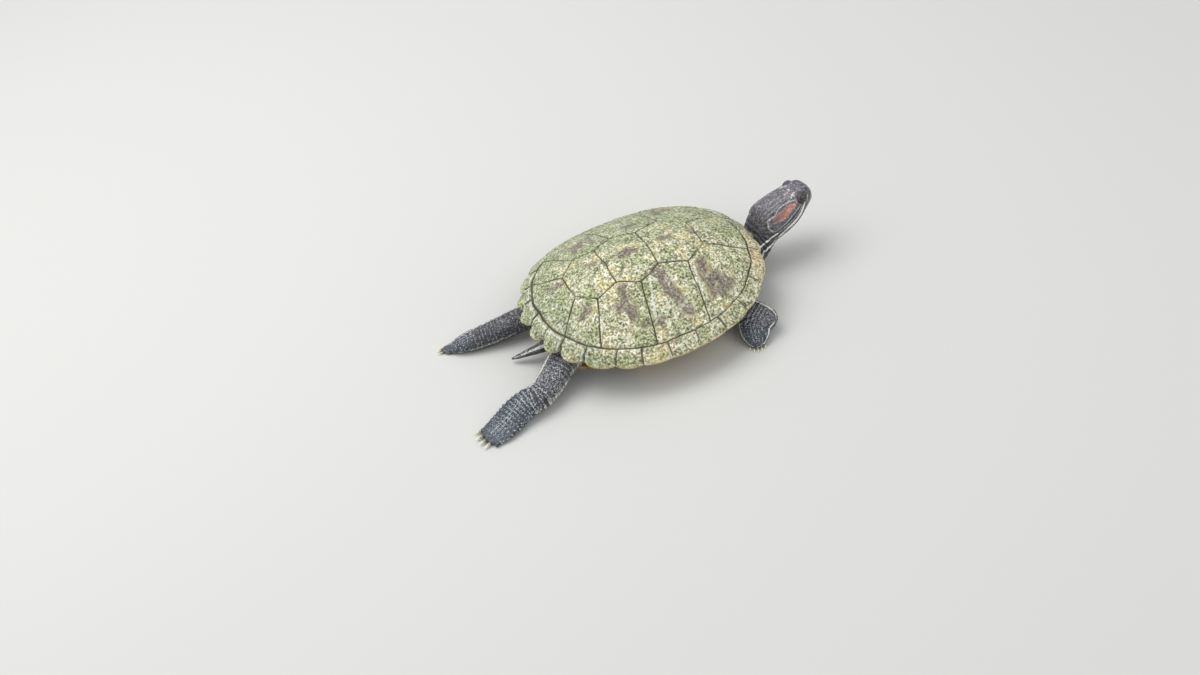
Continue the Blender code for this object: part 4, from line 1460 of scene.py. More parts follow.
STRIPES = (
    Stripe(Mark.RED, ((-12.2, -13.6, 8.7), (-8.1, -13.8, 8.9), (-1.9, -13.5, 8.9), (4.5, -13, 9.3),
        (10.4, -12.2, 9.2)), (4.0, 6.4, 6.8, 5.2, 1.4), 1.0, 0.8, 0.9),
    Stripe(Mark.RUST, ((-13, -12.8, 9.5), (-6, -12.2, 10.4), (1, -11.4, 11.6)), (9.5, 7.5, 3.0), 0.9,
        2.5),
    Stripe(Mark.GREY, ((-17.6, -9.8, 9.1), (-9.7, -11.1, 11), (-4.7, -9, 12.2), (0.7, -8.5, 12.3),
        (6.3, -9.1, 12), (10.9, -10.5, 10.7)), (0.8, 1.0), 0.8),
    Stripe(Mark.GREY, ((-15, -8, 11), (-5, -6.6, 12.6), (4, -6.0, 13.2), (10, -6.2, 13.0)), (0.6, 0.8),
        0.6),
    Stripe(Mark.GREY, ((12.9, -13.5, 5.6), (5.9, -15.4, 5), (-1.2, -16.7, 3.6), (-7.7, -17.2, 2.2),
        (-13.1, -16.9, 1.1), (-17.7, -16.2, 2.4), (-19.2, -13.2, 5.2), (-17.6, -10.9, 8.1)), (1.0, 1.2),
        0.85),
    Stripe(Mark.GREY, ((13.9, -13.5, 3.4), (8.6, -15.5, 1.8), (2, -16.9, 0.6), (-3.6, -17.4, 0),
        (-9.8, -17.4, -0.6), (-15.1, -17.2, -1.3)), (0.9, 1.2), 0.75),
    Stripe(Mark.DARK, ((13.4, -13.8, 4.5), (7, -15.6, 3.4), (0, -17, 2.1), (-8, -17.3, 0.8),
        (-15, -17, 0)), (1.6, 2.2), 0.8, 0.5),
    Stripe(Mark.DARK, ((14.4, -13.4, 2.4), (8, -15.8, 0.2), (2, -17, -1), (-6, -17.3, -1.8),
        (-15, -17, -3)), (1.8, 2.6), 0.9, 0.5),
    Stripe(Mark.CREAM, ((17.8, -11.8, 3.2), (15.5, -13, 1.8), (11.5, -14.6, -0.6), (7, -15.9, -1.9),
        (2.3, -16.7, -2.8), (-3, -17.1, -3.3), (-8, -17.1, -4.2), (-13, -16.8, -5.8)),
        (1.2, 2.4, 3.0, 3.2, 3.0, 2.4, 1.4)),
    Stripe(Mark.CREAM, ((-15.1, -17.2, -1.4), (-19.6, -16.3, -2), (-26.2, -14.1, -4.9),
        (-31.8, -12.3, -7.6), (-40, -13, -13)), (1.0, 1.9)),
    Stripe(Mark.CREAM, ((-12, -16.8, -5), (-15.2, -16.7, -6.6), (-21.9, -16, -9.4), (-27.4, -15.9, -10.8),
        (-32.3, -15.3, -13), (-41, -15, -19)), (1.4, 2.3)),
    Stripe(Mark.CREAM, ((23.5, -8.6, 5.6), (21.4, -10.6, 3.8), (20.4, -11.2, 0.2), (20.2, -10.6, -3.0)),
        (0.8, 1.0), 0.75),
    Stripe(Mark.CREAM, ((26.5, 0, -6.6), (18, 0, -10.5), (4, 0, -13.4), (-14, 0, -12.6)), (1.2, 2.0)),
    Stripe(Mark.CREAM, ((21, -6.0, -6.6), (10, -7.8, -10.6), (-2, -8.6, -12.0), (-20, -8.0, -11.4)),
        (1.0, 1.6)),
    Stripe(Mark.GREY, ((13, -3.4, 13.0), (0, -3.6, 12.2), (-14, -4.4, 11.2), (-24, -5, 9.6)), (0.7, 0.9),
        0.6),
    Stripe(Mark.GREY, ((12, -0.4, 13.6), (-8, -0.5, 12.2), (-20, -0.6, 10.6)), (0.6, 0.8), 0.5),
    Stripe(Mark.GREY, ((14.6, -4.6, 13), (12.6, -5.8, 12.9), (10, -7.3, 12.5)), (1.4, 2.0, 1.6), 0.95,
        0.7),
    Stripe(Mark.GREY, ((12.6, -1.2, 13.4), (13.6, -0.2, 13.4)), (1.3, 1.3), 0.8, 0.6),
    Stripe(Mark.GREY, ((8.4, -9.4, 11.6), (9.8, -9.8, 11.4)), (1.0, 1.0), 0.8, 0.6),
    Stripe(Mark.GREY, ((18, -3.6, 13.2), (23.5, -4.6, 11.2), (26.2, -4.4, 8.4)), (0.8, 1.0), 0.6, 0.5),
)


HIND_RIGHT = Limb("hind_right", (
    (-50, -25, 18, 12, 9.5, 10), (-69, -26, 18, 12.5, 9.5, 10.5), (-85, -31, 16.5, 12.2, 9.5, 10.5),
    (-100, -42, 13.5, 12, 9, 10), (-112, -48.2, 11, 11.5, 8, 9), (-122, -48.3, 9.2, 12.6, 7, 8.2),
    (-131, -49.8, 7.3, 13.4, 6, 7.2), (-140, -53, 5.2, 13.8, 4.6, 5.8), (-149, -56.6, 3.9, 13.5, 3.4, 4.4),
    (-156.5, -58.6, 3, 12.5, 2.5, 3.4), (-161.5, -59.8, 2.4, 10, 1.8, 2.6),
))
HIND_LEFT = Limb("hind_left", (
    (-50, 24, 18, 11, 9.5, 10), (-68, 26.5, 18, 11, 9.5, 10), (-85, 29.8, 16.5, 10.8, 9.5, 10),
    (-99, 32.6, 14, 10.4, 9.2, 9.8), (-113, 34.8, 11, 10.2, 8.9, 9.4), (-127, 37.4, 8.6, 10, 7.6, 8.6),
    (-138, 40.2, 6.5, 9.6, 6, 6.9), (-146, 42.6, 4.7, 8.4, 4.3, 5), (-151, 44.2, 3.3, 6.8, 3.1, 3.7),
    (-155, 45.5, 2.4, 5, 2, 2.6),
))
ARM = (
    (42, -30, 18, 11, 9.5, 10), (54, -46, 17, 11.4, 9.5, 10), (62.8, -58.5, 15, 11.4, 8.8, 10),
    (69, -66.5, 12.8, 11.4, 8.4, 10.5), (73.4, -72.6, 11.2, 9.8, 7.4, 10), (75.4, -76.6, 10.4, 6, 5, 7),
)
HAND = (
    (66, -58, 13.8, 9.5, 6, 6), (63.8, -65, 12.2, 11.6, 6.4, 7), (61.2, -72, 9.6, 12.4, 6, 7.4),
    (58.8, -78, 6.8, 11.2, 4.9, 6.8), (57.2, -82, 4.6, 8.6, 3.5, 4.9), (56.2, -84.6, 3.2, 5.8, 2.4, 3.6),
)
TAIL = Limb("tail", (
    (-66, -4, 17, 8, 7, 7), (-80, -5, 16.5, 6.8, 6.2, 6.2), (-92, -4.5, 13.5, 4.8, 4.4, 4.4),
    (-102, -0.5, 9.5, 3.4, 3.1, 3.1), (-110, 3.2, 6, 2.3, 2.1, 2.1), (-115, 5.6, 4, 1.3, 1.2, 1.2),
), coat=0.25)


def mirrored(keys: tuple) -> tuple:
    """A limb's keys on the other side of the body."""
    return tuple((x, -y, *rest) for x, y, *rest in keys)


ARMS = (Limb("arm_right", ARM), Limb("arm_left", mirrored(ARM)))
HANDS = (Limb("hand_right", HAND), Limb("hand_left", mirrored(HAND)))
LIMBS = (HIND_RIGHT, HIND_LEFT, *ARMS, *HANDS, TAIL)
FEET = (
    Foot("hind_foot_right", HIND_RIGHT, 18.0, 3.0, 2.3, 6.0, 4),
    Foot("hind_foot_left", HIND_LEFT, 3.0, 4.0, 1.5, 8.5, 4),
    Foot("forefoot_right", HANDS[0], 10.0, 3.2, 1.35, 4.6, 5),
    Foot("forefoot_left", HANDS[1], 10.0, 3.2, 1.35, 4.6, 5),
)


# Pale lines on the legs and tail: (limb, degrees round it, spread, from and to as shares, strength, gap);
# a gap breaks the line into single scales
LIMB_LINES = (
    ("hind_right", 42.0, 8.0, 0.14, 0.6, 1.0, 0.0), ("hind_right", 194.0, 15.0, 0.2, 0.64, 1.0, 2.7),
    ("hind_left", 54.0, 7.0, 0.15, 1.0, 0.75, 0.0), ("hind_left", 196.0, 8.0, 0.5, 1.0, 0.6, 0.0),
    ("tail", 130.0, 16.0, 0.2, 1.1, 0.9, 0.0), ("tail", 48.0, 16.0, 0.2, 1.1, 0.9, 0.0),
    ("arm_right", 126.0, 8.0, 0.3, 1.1, 0.9, 0.0), ("arm_left", 54.0, 8.0, 0.3, 1.1, 0.9, 0.0),
    ("hand_right", 12.0, 11.0, 0.2, 1.1, 0.9, 0.0), ("hand_right", 160.0, 10.0, 0.15, 1.1, 1.0, 0.0),
    ("hand_left", 20.0, 10.0, 0.15, 1.1, 1.0, 0.0), ("hand_left", 168.0, 11.0, 0.2, 1.1, 0.9, 0.0),
)
# Where each foot's cooler skin begins, as a share of its limb; on other limbs, well past their end
FOOT_STARTS = {"hind_right": 0.62, "hind_left": 0.8, "hand_right": 0.3, "hand_left": 0.3}
NO_FOOT = 2.0


def stretch(share: Array, start: float, end: float, soft: float) -> Array:
    """1 between two shares of a limb, fading to 0 over a soft length on either side."""
    return smoothstep(start - soft, start, share) * smoothstep(end + soft, end, share)


def foot_share(name: str, share: Array) -> Array:
    """How much places belong to the foot, from their share of the way along their limb."""
    start = FOOT_STARTS.get(name, NO_FOOT)
    return smoothstep(start - 0.1, start + 0.15, share)


def pale_lines(located: Places) -> Array:
    """How strongly the pale lines show at places on the limbs."""
    best = np.zeros(1)
    for name, degrees, spread, start, end, strength, gap in LIMB_LINES:
        at = located[name]
        line = at.facing(degrees, spread) * stretch(at.share, start, end, 0.04) * at.on_limb()
        if gap:
            line *= smoothstep(-0.3, 0.3, np.sin(TURN * at.run / gap))
        best = np.maximum(best, line * strength)
    return best


# Folds across the limbs: (from and to as shares of the limb, depth, spacing)
FOLDS = {
    "hind_right": ((0.6, 0.84, 0.85, 3.7), (0.2, 0.36, 0.3, 4.2)),
    "hind_left": ((0.6, 0.82, 0.2, 3.2), (0.25, 0.4, 0.2, 4.0)),
    "arm_right": ((0.35, 0.8, 0.3, 3.2),), "arm_left": ((0.35, 0.8, 0.3, 3.2),),
    "hand_right": ((0.1, 0.4, 0.35, 2.8),), "hand_left": ((0.1, 0.4, 0.35, 2.8),),
    "tail": ((0.1, 0.9, 0.1, 2.0),),
}


def folds(points: Array, located: Places) -> tuple[Array, Array]:
    """The folds that run across the legs and tail.

    Args:
        points: Points on them.
        located: Where the points lie on each limb.

    Returns:
        How far each point moves outwards, and where it lies between the bottom of a fold, -1, and a crest, 1.
    """
    moved, crest = np.zeros(len(points)), np.zeros(len(points))
    for name, spans in FOLDS.items():
        at = located[name]
        for start, end, depth, spacing in spans:
            window = stretch(at.share, start, end, 0.12) * at.on_limb(1.15)
            wave = np.sin(TURN * (at.run + 1.5 * rough(points, 6, 37)) / spacing)
            moved += depth * window * (wave * 0.5 + 0.25 * np.abs(wave) - 0.3)
            crest += window * wave * min(1.0, depth * 1.6)
    return moved, crest


@dataclass
class Skin:
    """One skin over trunk, neck, head, legs and tail, with its folds, lids and markings."""

    form: ShellForm
    head: HeadForm
    voxel: float = 0.95
    plate_thickness: float = 3.2
    # (half length, half width, height) of the trunk's rings below the rim
    trunk_rings: tuple = ((82.0, 68.0, 24.5), (80.0, 60.0, 16.0), (77.0, 49.0, 8.5), (72.0, 42.0, 4.8))
    hidden_share: float = 0.72
    hidden_kept: float = 0.06
    fine_head_from: float = -21.0
    lid_radius: float = 4.5
    lid_opening: tuple = (3.25, 2.5)
    eye_room: float = 3.2
    neck_from: float = 84.0  # where the head's and neck's relief begins, along the shell's X
    neck_blend: float = 12.0
    # Where the head and neck lie, in the head's axes: how far back, and how far from its X axis
    head_room: tuple = (-60.0, 32.0)
    replaced: tuple = (
        "trunk", "neck", "head", "lower_jaw", "tail",
        *(f"{part}_{side}" for part in ("foreleg", "forefoot", "hind_leg", "hind_foot") for side, _ in SIDES),
    )

    def trunk(self) -> Body:
        """The body inside the shell as a closed bag."""
        angles = np.linspace(0, TURN, 96, endpoint=False)
        sink = self.plate_thickness + 2.2
        rows = []
        for rho in (0.15, 0.3, 0.45, 0.6, 0.72, 0.8, self.form.ring_share - 0.046):
            top = self.form.dome(angles, np.full_like(angles, rho)) - sink
            rows.append(np.column_stack([self.form.plan(angles, rho), top]))
        for half_x, half_y, z in self.trunk_rings:
            flat = self.form.plan(angles, 1.0) * (2 * half_x / self.form.length, 2 * half_y / self.form.width)
            rows.append(np.column_stack([flat, np.full(len(flat), z + 0.2)]))
        return capped(np.array(rows))

    def blank(self) -> Piece:
        """Joins every body and melts them into one closed surface."""
        bodies = [self.trunk(), self.head.body(), *(limb.body() for limb in LIMBS)]
        bodies += [body for foot in FEET for body in foot.bodies()]
        counts = [len(points) for points, _ in bodies]
        faces = [f + first for (_, own), first in zip(bodies, np.cumsum(counts) - counts) for f in own]
        piece = mesh_piece("skin", np.vstack([points for points, _ in bodies]), faces)
        remesh = piece.modifiers.new("melt", "REMESH")
        remesh.mode, remesh.voxel_size, remesh.adaptivity = "VOXEL", self.voxel * MM, 0.0
        apply_modifiers(piece)
        return piece

    @staticmethod
    def smooth(piece: Piece, rounds: int, weight: Array | float) -> None:
        """Evens out a surface by moving each point towards the mean of its neighbours.

        Args:
            piece: The surface.
            rounds: How many times.
            weight: How far, as a share, for every point.
        """
        edges = np.empty(len(piece.data.edges) * 2, np.int32)
        piece.data.edges.foreach_get("vertices", edges)
        a, b = edges.reshape(-1, 2).T
        points = points_of(piece)
        count = len(points)
        neighbours = np.maximum(np.bincount(edges, minlength=count), 1)[:, None]
        for _ in range(rounds):
            sums = [np.bincount(a, axis[b], count) + np.bincount(b, axis[a], count) for axis in points.T]
            points += (np.column_stack(sums) / neighbours - points) * np.broadcast_to(weight, count)[:, None]
        set_points(piece, points)

    def thin_hidden(self, piece: Piece) -> None:
        """Leaves only large faces where the shell covers the skin on every side."""
        points = points_of(piece)
        hidden = (self.form.polar(points[:, :2])[1] < self.hidden_share) & (np.abs(points[:, 0]) < 60)
        group = piece.vertex_groups.new(name="hidden")
        group.add(np.flatnonzero(hidden).tolist(), 1.0, "REPLACE")
        thin = piece.modifiers.new("thin", "DECIMATE")
        thin.vertex_group = group.name
        thin.ratio = 1 - (1 - self.hidden_kept) * hidden.mean()
        apply_modifiers(piece)
        piece.vertex_groups.clear()

    def is_fine(self, piece: Piece) -> Array:
        """Which of the skin's points lie where the head gets smaller faces."""
        local = self.head.to_local(points_of(piece))
        return (local[:, 0] > self.fine_head_from) & (np.linalg.norm(local, axis=1) < 40)

    def refine_head(self, piece: Piece) -> None:
        """Splits the faces of the head into four."""
        fine = self.is_fine(piece)
        bm = bmesh.new()
        bm.from_mesh(piece.data)
        chosen = [edge for edge in bm.edges if all(fine[end.index] for end in edge.verts)]
        bmesh.ops.subdivide_edges(bm, edges=chosen, cuts=1, use_grid_fill=True)
        bm.to_mesh(piece.data)
        bm.free()
        piece.data.shade_smooth()
        self.smooth(piece, 2, 0.5 * self.is_fine(piece))

    def raise_lids(self, local: Array) -> Array:
        """Wraps the skin over each eyeball and opens it along an almond.

        Args:
            local: The skin's points in the head's axes.

        Returns:
            The moved points.
        """
        local = local.copy()
        full, (open_u, open_v) = self.lid_radius, self.lid_opening
        for sign in (1, -1):
            centre, gaze = self.head.eye_centre(sign), self.head.gaze(sign)
            along = unit(np.cross((0.0, -sign * 0.25, 1.0), gaze) * sign)
            up = np.cross(gaze, along) * sign
            u, v, depth = np.array([along, up, gaze]) @ (local - centre).T
            spread = np.hypot(u, v)
            near = (spread < 8.5) & (depth > -5.5) & (depth < 8)
            turn = np.minimum(spread / (full * 0.98), 1.0) * math.radians(84)
            arc_u, arc_v = np.array([u, v]) * full * np.sin(turn) / np.maximum(spread, 1e-6)
            almond = np.hypot(arc_u / open_u, arc_v / (open_v * np.where(arc_v > 0, 1.0, 0.85)))
            inside = smoothstep(1.08, 0.96, almond)
            margin = 0.16 * bump(almond - 1.2, 0.16) - 0.12 * bump(almond - 1.62, 0.13)
            radius = (full + margin) * (1 - inside) + self.eye_room * inside
            way = np.column_stack([arc_u / full, arc_v / full, np.cos(turn)])
            wrap = centre + way * radius[:, None] @ np.array([along, up, gaze])
            blend = smoothstep(full * 1.04, full * 0.84, spread)
            collar = smoothstep(8.0, full, spread) * (1 - blend) * 0.5
            target = local + gaze * collar[:, None]
            local[near] = (target + (wrap - target) * blend[:, None])[near]
        return local

    def head_relief(self, local: Array) -> tuple[Array, Array]:
        """Nostrils, mouth, cheeks and neck folds.

        Args:
            local: The skin's points in the head's axes.

        Returns:
            How far each point moves outwards, and how much painted shade darkens it in the nostrils, the
            mouth line, its corners and the wrinkles.
        """
        x, y, z = local.T
        nostril = np.hypot((y - 1.7 * np.sign(y)) / 0.6, (z - 4.6) / 0.55) + 5 * (x < 26.5)
        pit = np.exp(-(nostril**2) * 0.9)
        off = z - self.head.mouth_height(x)
        mouth = bump(off, 0.42) * smoothstep(1.0, 4.0, x) * smoothstep(14.5, 13.2, x)
        corner = bump(x - 3.5, 2.0) * bump(off, 1.1) * (np.abs(y) > 6)
        ear = np.hypot((x + 2) / 5.2, (z - 1.5) / 5.0)
        drum = -0.35 * bump(ear - 1.0, 0.16) * (np.abs(y) > 8)
        throat = smoothstep(-2, -9, z) * smoothstep(16, 2, x)
        behind = smoothstep(-6, -34, x) * smoothstep(-58, -46, x)
        phase = x + 2.4 * rough(local, 8, 5)
        rings = np.sin(TURN * phase / 3.3) * (0.3 + 0.25 * rough(local, 6, 9))
        lengthwise = np.sin(np.arctan2(z, y) * 24 + 3.2 * rough(local * (0.3, 1, 1), 6, 13))
        lengthwise *= 0.24 * smoothstep(4, -12, x) * smoothstep(-58, -46, x)
        wrinkles = behind * rings + lengthwise + 0.22 * throat * rings
        ridge = bump(x - 23, 4.5) * bump(np.abs(y) - 6.0, 3.2) * smoothstep(6, 9, z)
        crown = 0.16 * rough(local, 2.8, 21) * smoothstep(-14, 8, x) + 0.2 * rough(local, 7.5, 23)
        moved = -1.1 * pit - 0.55 * mouth - 0.3 * corner + drum + wrinkles + ridge + crown
        # painted shade in the nostrils, the mouth line and its corners, and the wrinkles
        hollow = pit + 0.9 * mouth + 0.4 * corner + behind * np.clip(-rings * 1.6, 0, 1)
        return moved, hollow + np.clip(-lengthwise * 2.6, 0, 0.7)

    def limb_relief(self, points: Array, located: Places) -> tuple[Array, Array]:
        """Folds across the ankles, elbows and thighs, and ridges along the toes.

        Args:
            points: The skin's points.
            located: Where they lie on each limb.

        Returns:
            How far each point moves outwards, and how much painted shade darkens it at the bottom of the
            folds.
        """
        moved, crest = folds(points, located)
        moved += 0.1 * rough(points, 2.2, 31, 2)
        flat, low = points * (1, 1, 0), smoothstep(14, 9, points[:, 2])
        for foot in FEET:
            root = np.array(foot.leg.keys[-5][:3], float)
            for start, direction in foot.digits():
                line = np.array([root + (start - root) * 0.4, start, start + direction * foot.length])
                distance = segment_distance(flat, line * (1, 1, 0))[0]
                moved += (0.42 * bump(distance, 0.62 * foot.radius) - 0.08) * low * (distance < 5)
        # painted shade at the bottom of each fold
        return moved, np.clip(-crest, 0, 1)

    def build(self, material: Material) -> Piece:
        """Makes and dresses the skin.

        Args:
            material: Its surface.

        Returns:
            The piece.
        """
        piece = self.blank()
        self.smooth(piece, 5, 0.5)
        self.thin_hidden(piece)
        self.refine_head(piece)
        points = points_of(piece)
        located = {limb.name: limb.locate(points) for limb in LIMBS}
        local = self.head.to_local(points)
        back, wide = self.head_room
        on_head = (local[:, 0] > back) & (np.linalg.norm(local[:, 1:], axis=1) < wide)
        on_head &= points[:, 0] > self.neck_from
        moved, hollow = self.limb_relief(points, located)
        head_moved, head_crease_shade = self.head_relief(local)
        share = smoothstep(self.neck_from, self.neck_from + self.neck_blend, points[:, 0]) * on_head
        moved = moved * (1 - share) + head_moved * share
        hollow = hollow * (1 - share) + head_crease_shade * share
        points += read(piece.data.vertex_normals, "vector") * moved[:, None]
        local = self.head.to_local(points)
        points[on_head] = self.head.to_shell(self.raise_lids(local)[on_head])
        keep_off_floor(points)
        set_points(piece, points)
        self.paint(piece, local, on_head, hollow, located)
        finish_piece(piece, material, "skin", *self.replaced)
        return piece

    def paint(self, piece: Piece, local: Array, on_head: Array, hollow: Array, located: Places) -> None:
        """Stores the skin's markings, and the painted shade in its creases and eye sockets, as numbers on its
        points.

        Args:
            piece: The skin.
            local: Its points in the head's axes.
            on_head: Which points lie on the head or neck.
            hollow: How much painted shade darkens each point, in creases and pits.
            located: Where the points lie on each limb.
        """
        marks = {mark: np.zeros(len(local)) for mark in Mark}
        chosen = np.flatnonzero(on_head)
        skin = surface_of(piece)
        for stripe in STRIPES:
            share = stripe.share(local[chosen], skin, self.head)
            marks[stripe.mark][chosen] = np.maximum(marks[stripe.mark][chosen], share)
        marks[Mark.CREAM] = np.maximum(marks[Mark.CREAM], pale_lines(located) * (1 - on_head))
        marks[Mark.RUST] *= marks[Mark.RED]
        for sign in (1, -1):
            socket = np.linalg.norm(local - self.head.eye_centre(sign), axis=1)
            # painted shade in each eye socket, stored with the dark stripes
            shadow, lid_edge = 0.6 * smoothstep(6.2, 4.8, socket), 0.5 * bump(socket - 6.6, 0.45)
            for mark, share in ((Mark.DARK, shadow), (Mark.GREY, lid_edge)):
                marks[mark] = np.maximum(marks[mark], share * on_head)
        feet = [foot_share(name, located[name].share) * located[name].on_limb() for name in FOOT_STARTS]
        warm = smoothstep(-34, -8, local[:, 0]) * on_head
        streak = rough(local * (0.14, 1.0, 1.0), 1.5, 99, 2) * smoothstep(24, 14, local[:, 0])
        named = {mark.value: share for mark, share in marks.items()}
        named |= {"foot": np.max(feet, axis=0), "head": warm, "streak": streak}
        store(piece, hollow=np.clip(hollow, 0, 1), **named)


# ---------------------------------------------------------------- scales


@dataclass(frozen=True)
class ScaleBand:
    """A stretch of a limb that scales cover, and how large and pale they are."""

    limb: str
    start: float
    end: float
    pitch: float
    rise: float
    tile: tuple
    pale: float = 0.35


BANDS = (
    ScaleBand("hind_right", 0.12, 0.97, 1.6, 0.3, (0.02, 0.02), 0.55),
    ScaleBand("hind_left", 0.12, 0.97, 1.6, 0.26, (0.02, 0.27), 0.36),
    ScaleBand("arm_right", 0.3, 1.0, 1.7, 0.28, (0.52, 0.02), 0.42),
    ScaleBand("arm_left", 0.3, 1.0, 1.7, 0.28, (0.52, 0.27), 0.42),
    ScaleBand("hand_right", 0.08, 0.97, 1.6, 0.28, (0.52, 0.52), 0.46),
    ScaleBand("hand_left", 0.08, 0.97, 1.6, 0.28, (0.52, 0.77), 0.46),
    ScaleBand("tail", 0.15, 1.0, 1.3, 0.2, (0.02, 0.52), 0.4),
)


@dataclass
class ScaleCoat:
    """Small horny scales in staggered rows round the legs and tail, overlapping towards the claws."""

    form: ShellForm
    skin: Piece
    tile_width: float = 0.44
    tile_height: float = 0.2
    patch: float = 0.003
    row_step: float = 0.82  # between rows, in pitches
    jitter: tuple = (0.18, 0.12, 0.12)  # round the limb, along it and in size, as shares of a scale
    ray: tuple = (26.0, 0.03)  # its start off the middle line in millimetres, and its reach in metres
    farthest: float = 1.35  # reach of the skin, in half widths of the limb
    covered_share: float = 0.8
    large_scales: tuple = (190.0, 0.3, 0.6)  # degrees round the right thigh, spread, growth
    floor_clear: float = 1.3
    foot_shrink: float = 0.3
    # painted light on the fold crests and painted shade between them
    fold_light_and_shade: float = 0.45
    ridges: int = 22
    ridge_pale: float = 0.3

    def scale_shape(self) -> Piece:
        """One scale of unit size: a low dome, its front edge standing a little off the skin.

        Returns:
            A helper object, removed once its scales are laid.
        """
        count = 8
        turn = TURN * (np.arange(count) + 0.5) / count
        outline = np.column_stack([0.56 * np.cos(turn), 0.62 * np.sin(turn)])
        lift = 0.25 * smoothstep(-0.2, 0.6, outline[:, 1])
        crown = np.column_stack([outline * 0.62 + (0, 0.03), lift * 0.6 + 0.75])
        edge = np.column_stack([outline, lift])
        under = np.column_stack([outline * 0.8, np.full(count, -0.6)])
        points, faces = capped(np.array([crown, edge, under]), np.array([0, 0.05, 1]), np.array([0, 0, -0.7]))
        piece = mesh_piece("scale_shape", PLACE.from_row(points), faces)
        front = np.sin(turn)
        tip = np.concatenate([0.75 + 0.25 * front, 0.15 + 0.15 * front, np.zeros(count), (1, 0)])
        store(piece, tip=tip, leaf_x=points[:, 0], leaf_y=points[:, 1])
        return piece

    def roots(self, band: ScaleBand, limb: Limb, skin: BVHTree, rng: np.random.Generator) -> Array:
        """Lays out one band's scales.

        Args:
            band: The stretch and its sizes.
            limb: The limb that carries it.
            skin: The skin, for finding its surface.
            rng: Small irregularities.

        Returns:
            A row for each scale: its place, the ways it faces and lies, its size in metres, its place on
            the unwrap, its share of the foot and its paleness.
        """
        rows = limb.rows(200)
        run = run_along(rows[:, :3])
        rows = np.column_stack([rows[:, :6], limb.forward(rows[:, :3])])
        foot_start = FOOT_STARTS.get(band.limb, NO_FOOT)
        turned, moved, sized = self.jitter
        off, far = self.ray
        large_at, spread, growth = self.large_scales
        growth *= band.limb == "hind_right"
        found = []
        places = np.arange(band.start * run[-1], band.end * run[-1], band.pitch * self.row_step)
        for ring, at in enumerate(places):
            row, share = between(at, run, rows), at / run[-1]
            ahead = unit(row[6:])
            side, up = axes_across(ahead)
            girth = math.pi * (row[3] + (row[4] + row[5]) / 2)
            count = max(6, int(girth / band.pitch))
            for k in range(count):
                angle = TURN * (k + 0.5 * (ring % 2) + turned * rng.standard_normal()) / count
                out = side * math.cos(angle) + up * math.sin(angle)
                centre = row[:3] + ahead * moved * band.pitch * rng.standard_normal()
                start = PLACE.to_row(centre + out * off)
                hit, normal, _, _ = skin.ray_cast(Vector(start), Vector(-out), far)
                if hit is None:
                    continue
                place, facing = PLACE.from_row(np.array(hit)), np.array(normal)
                reach = np.linalg.norm(place - centre)
                covered = self.form.polar(place[None, :2])[1][0] < self.covered_share
                if reach > self.farthest * max(row[3:6]) or place[2] < self.floor_clear or covered:
                    continue
                lie = unit(ahead - facing * (ahead @ facing))
                grow = 1 + growth * bump(angle - math.radians(large_at), spread)
                grow -= self.foot_shrink * smoothstep(foot_start, foot_start + 0.2, share)
                size = band.pitch * grow * (1 + sized * rng.standard_normal()) * MM
                unwrap = (band.tile[0] + self.tile_width * share,
                          band.tile[1] + self.tile_height * (angle % TURN) / TURN)
                found.append([*place, *facing, *lie, size, *unwrap, foot_share(band.limb, share), band.pale])
        return np.array(found)

    def tree_group(self) -> Tree:
        """The node group that stands a scale on every root and gives it its place on the unwrap.

        Returns:
            The group, with the scale, its rise, its patch and its material as inputs.
        """
        group = bpy.data.node_groups.new("lay_scales", "GeometryNodeTree")
        for name, kind, way in (
            ("Roots", "Geometry", "INPUT"), ("Scale", "Object", "INPUT"), ("Rise", "Float", "INPUT"),
            ("Patch", "Float", "INPUT"), ("Horn", "Material", "INPUT"), ("Scales", "Geometry", "OUTPUT"),
        ):
            group.interface.new_socket(name, in_out=way, socket_type=f"NodeSocket{kind}")
        given = add(group, "NodeGroupInput")
        stored = {
            name: add(group, "GeometryNodeInputNamedAttribute", {"Name": name}, data_type=kind)["Attribute"]
            for kind, names in (("FLOAT", "size root_u root_v leaf_x leaf_y"), ("FLOAT_VECTOR", "facing lie"))
            for name in names.split()
        }
        align = "FunctionNodeAlignRotationToVector"
        upright = add(group, align, {"Vector": stored["facing"]}, axis="Z")["Rotation"]
        inputs = {"Rotation": upright, "Vector": stored["lie"]}
        turned = add(group, align, inputs, axis="Y", pivot_axis="Z")["Rotation"]
        shape = add(group, "GeometryNodeObjectInfo", {"Object": given["Scale"]})["Geometry"]
        inputs = {"X": stored["size"], "Y": stored["size"], "Z": given["Rise"]}
        spread = add(group, "ShaderNodeCombineXYZ", inputs)["Vector"]
        inputs = {"Points": given["Roots"], "Instance": shape, "Rotation": turned, "Scale": spread}
        laid = add(group, "GeometryNodeInstanceOnPoints", inputs)["Instances"]
        solid = add(group, "GeometryNodeRealizeInstances", {"Geometry": laid})["Geometry"]
        unwrap = {}
        for axis, leaf, root in (("X", "leaf_x", "root_u"), ("Y", "leaf_y", "root_v")):
            inputs = {0: stored[leaf], 1: given["Patch"], 2: stored[root]}
            unwrap[axis] = add(group, "ShaderNodeMath", inputs, operation="MULTIPLY_ADD")[0]
        unwrapped = add(group, "ShaderNodeCombineXYZ", unwrap)["Vector"]
        inputs = {"Geometry": solid, "Name": "OFBake", "Value": unwrapped}
        mapped = add(group, "GeometryNodeStoreNamedAttribute", inputs, data_type="FLOAT2", domain="CORNER")
        inputs = {"Geometry": mapped["Geometry"], "Material": given["Horn"]}
        add(group, "NodeGroupOutput", {"Scales": add(group, "GeometryNodeSetMaterial", inputs)["Geometry"]})
        return group

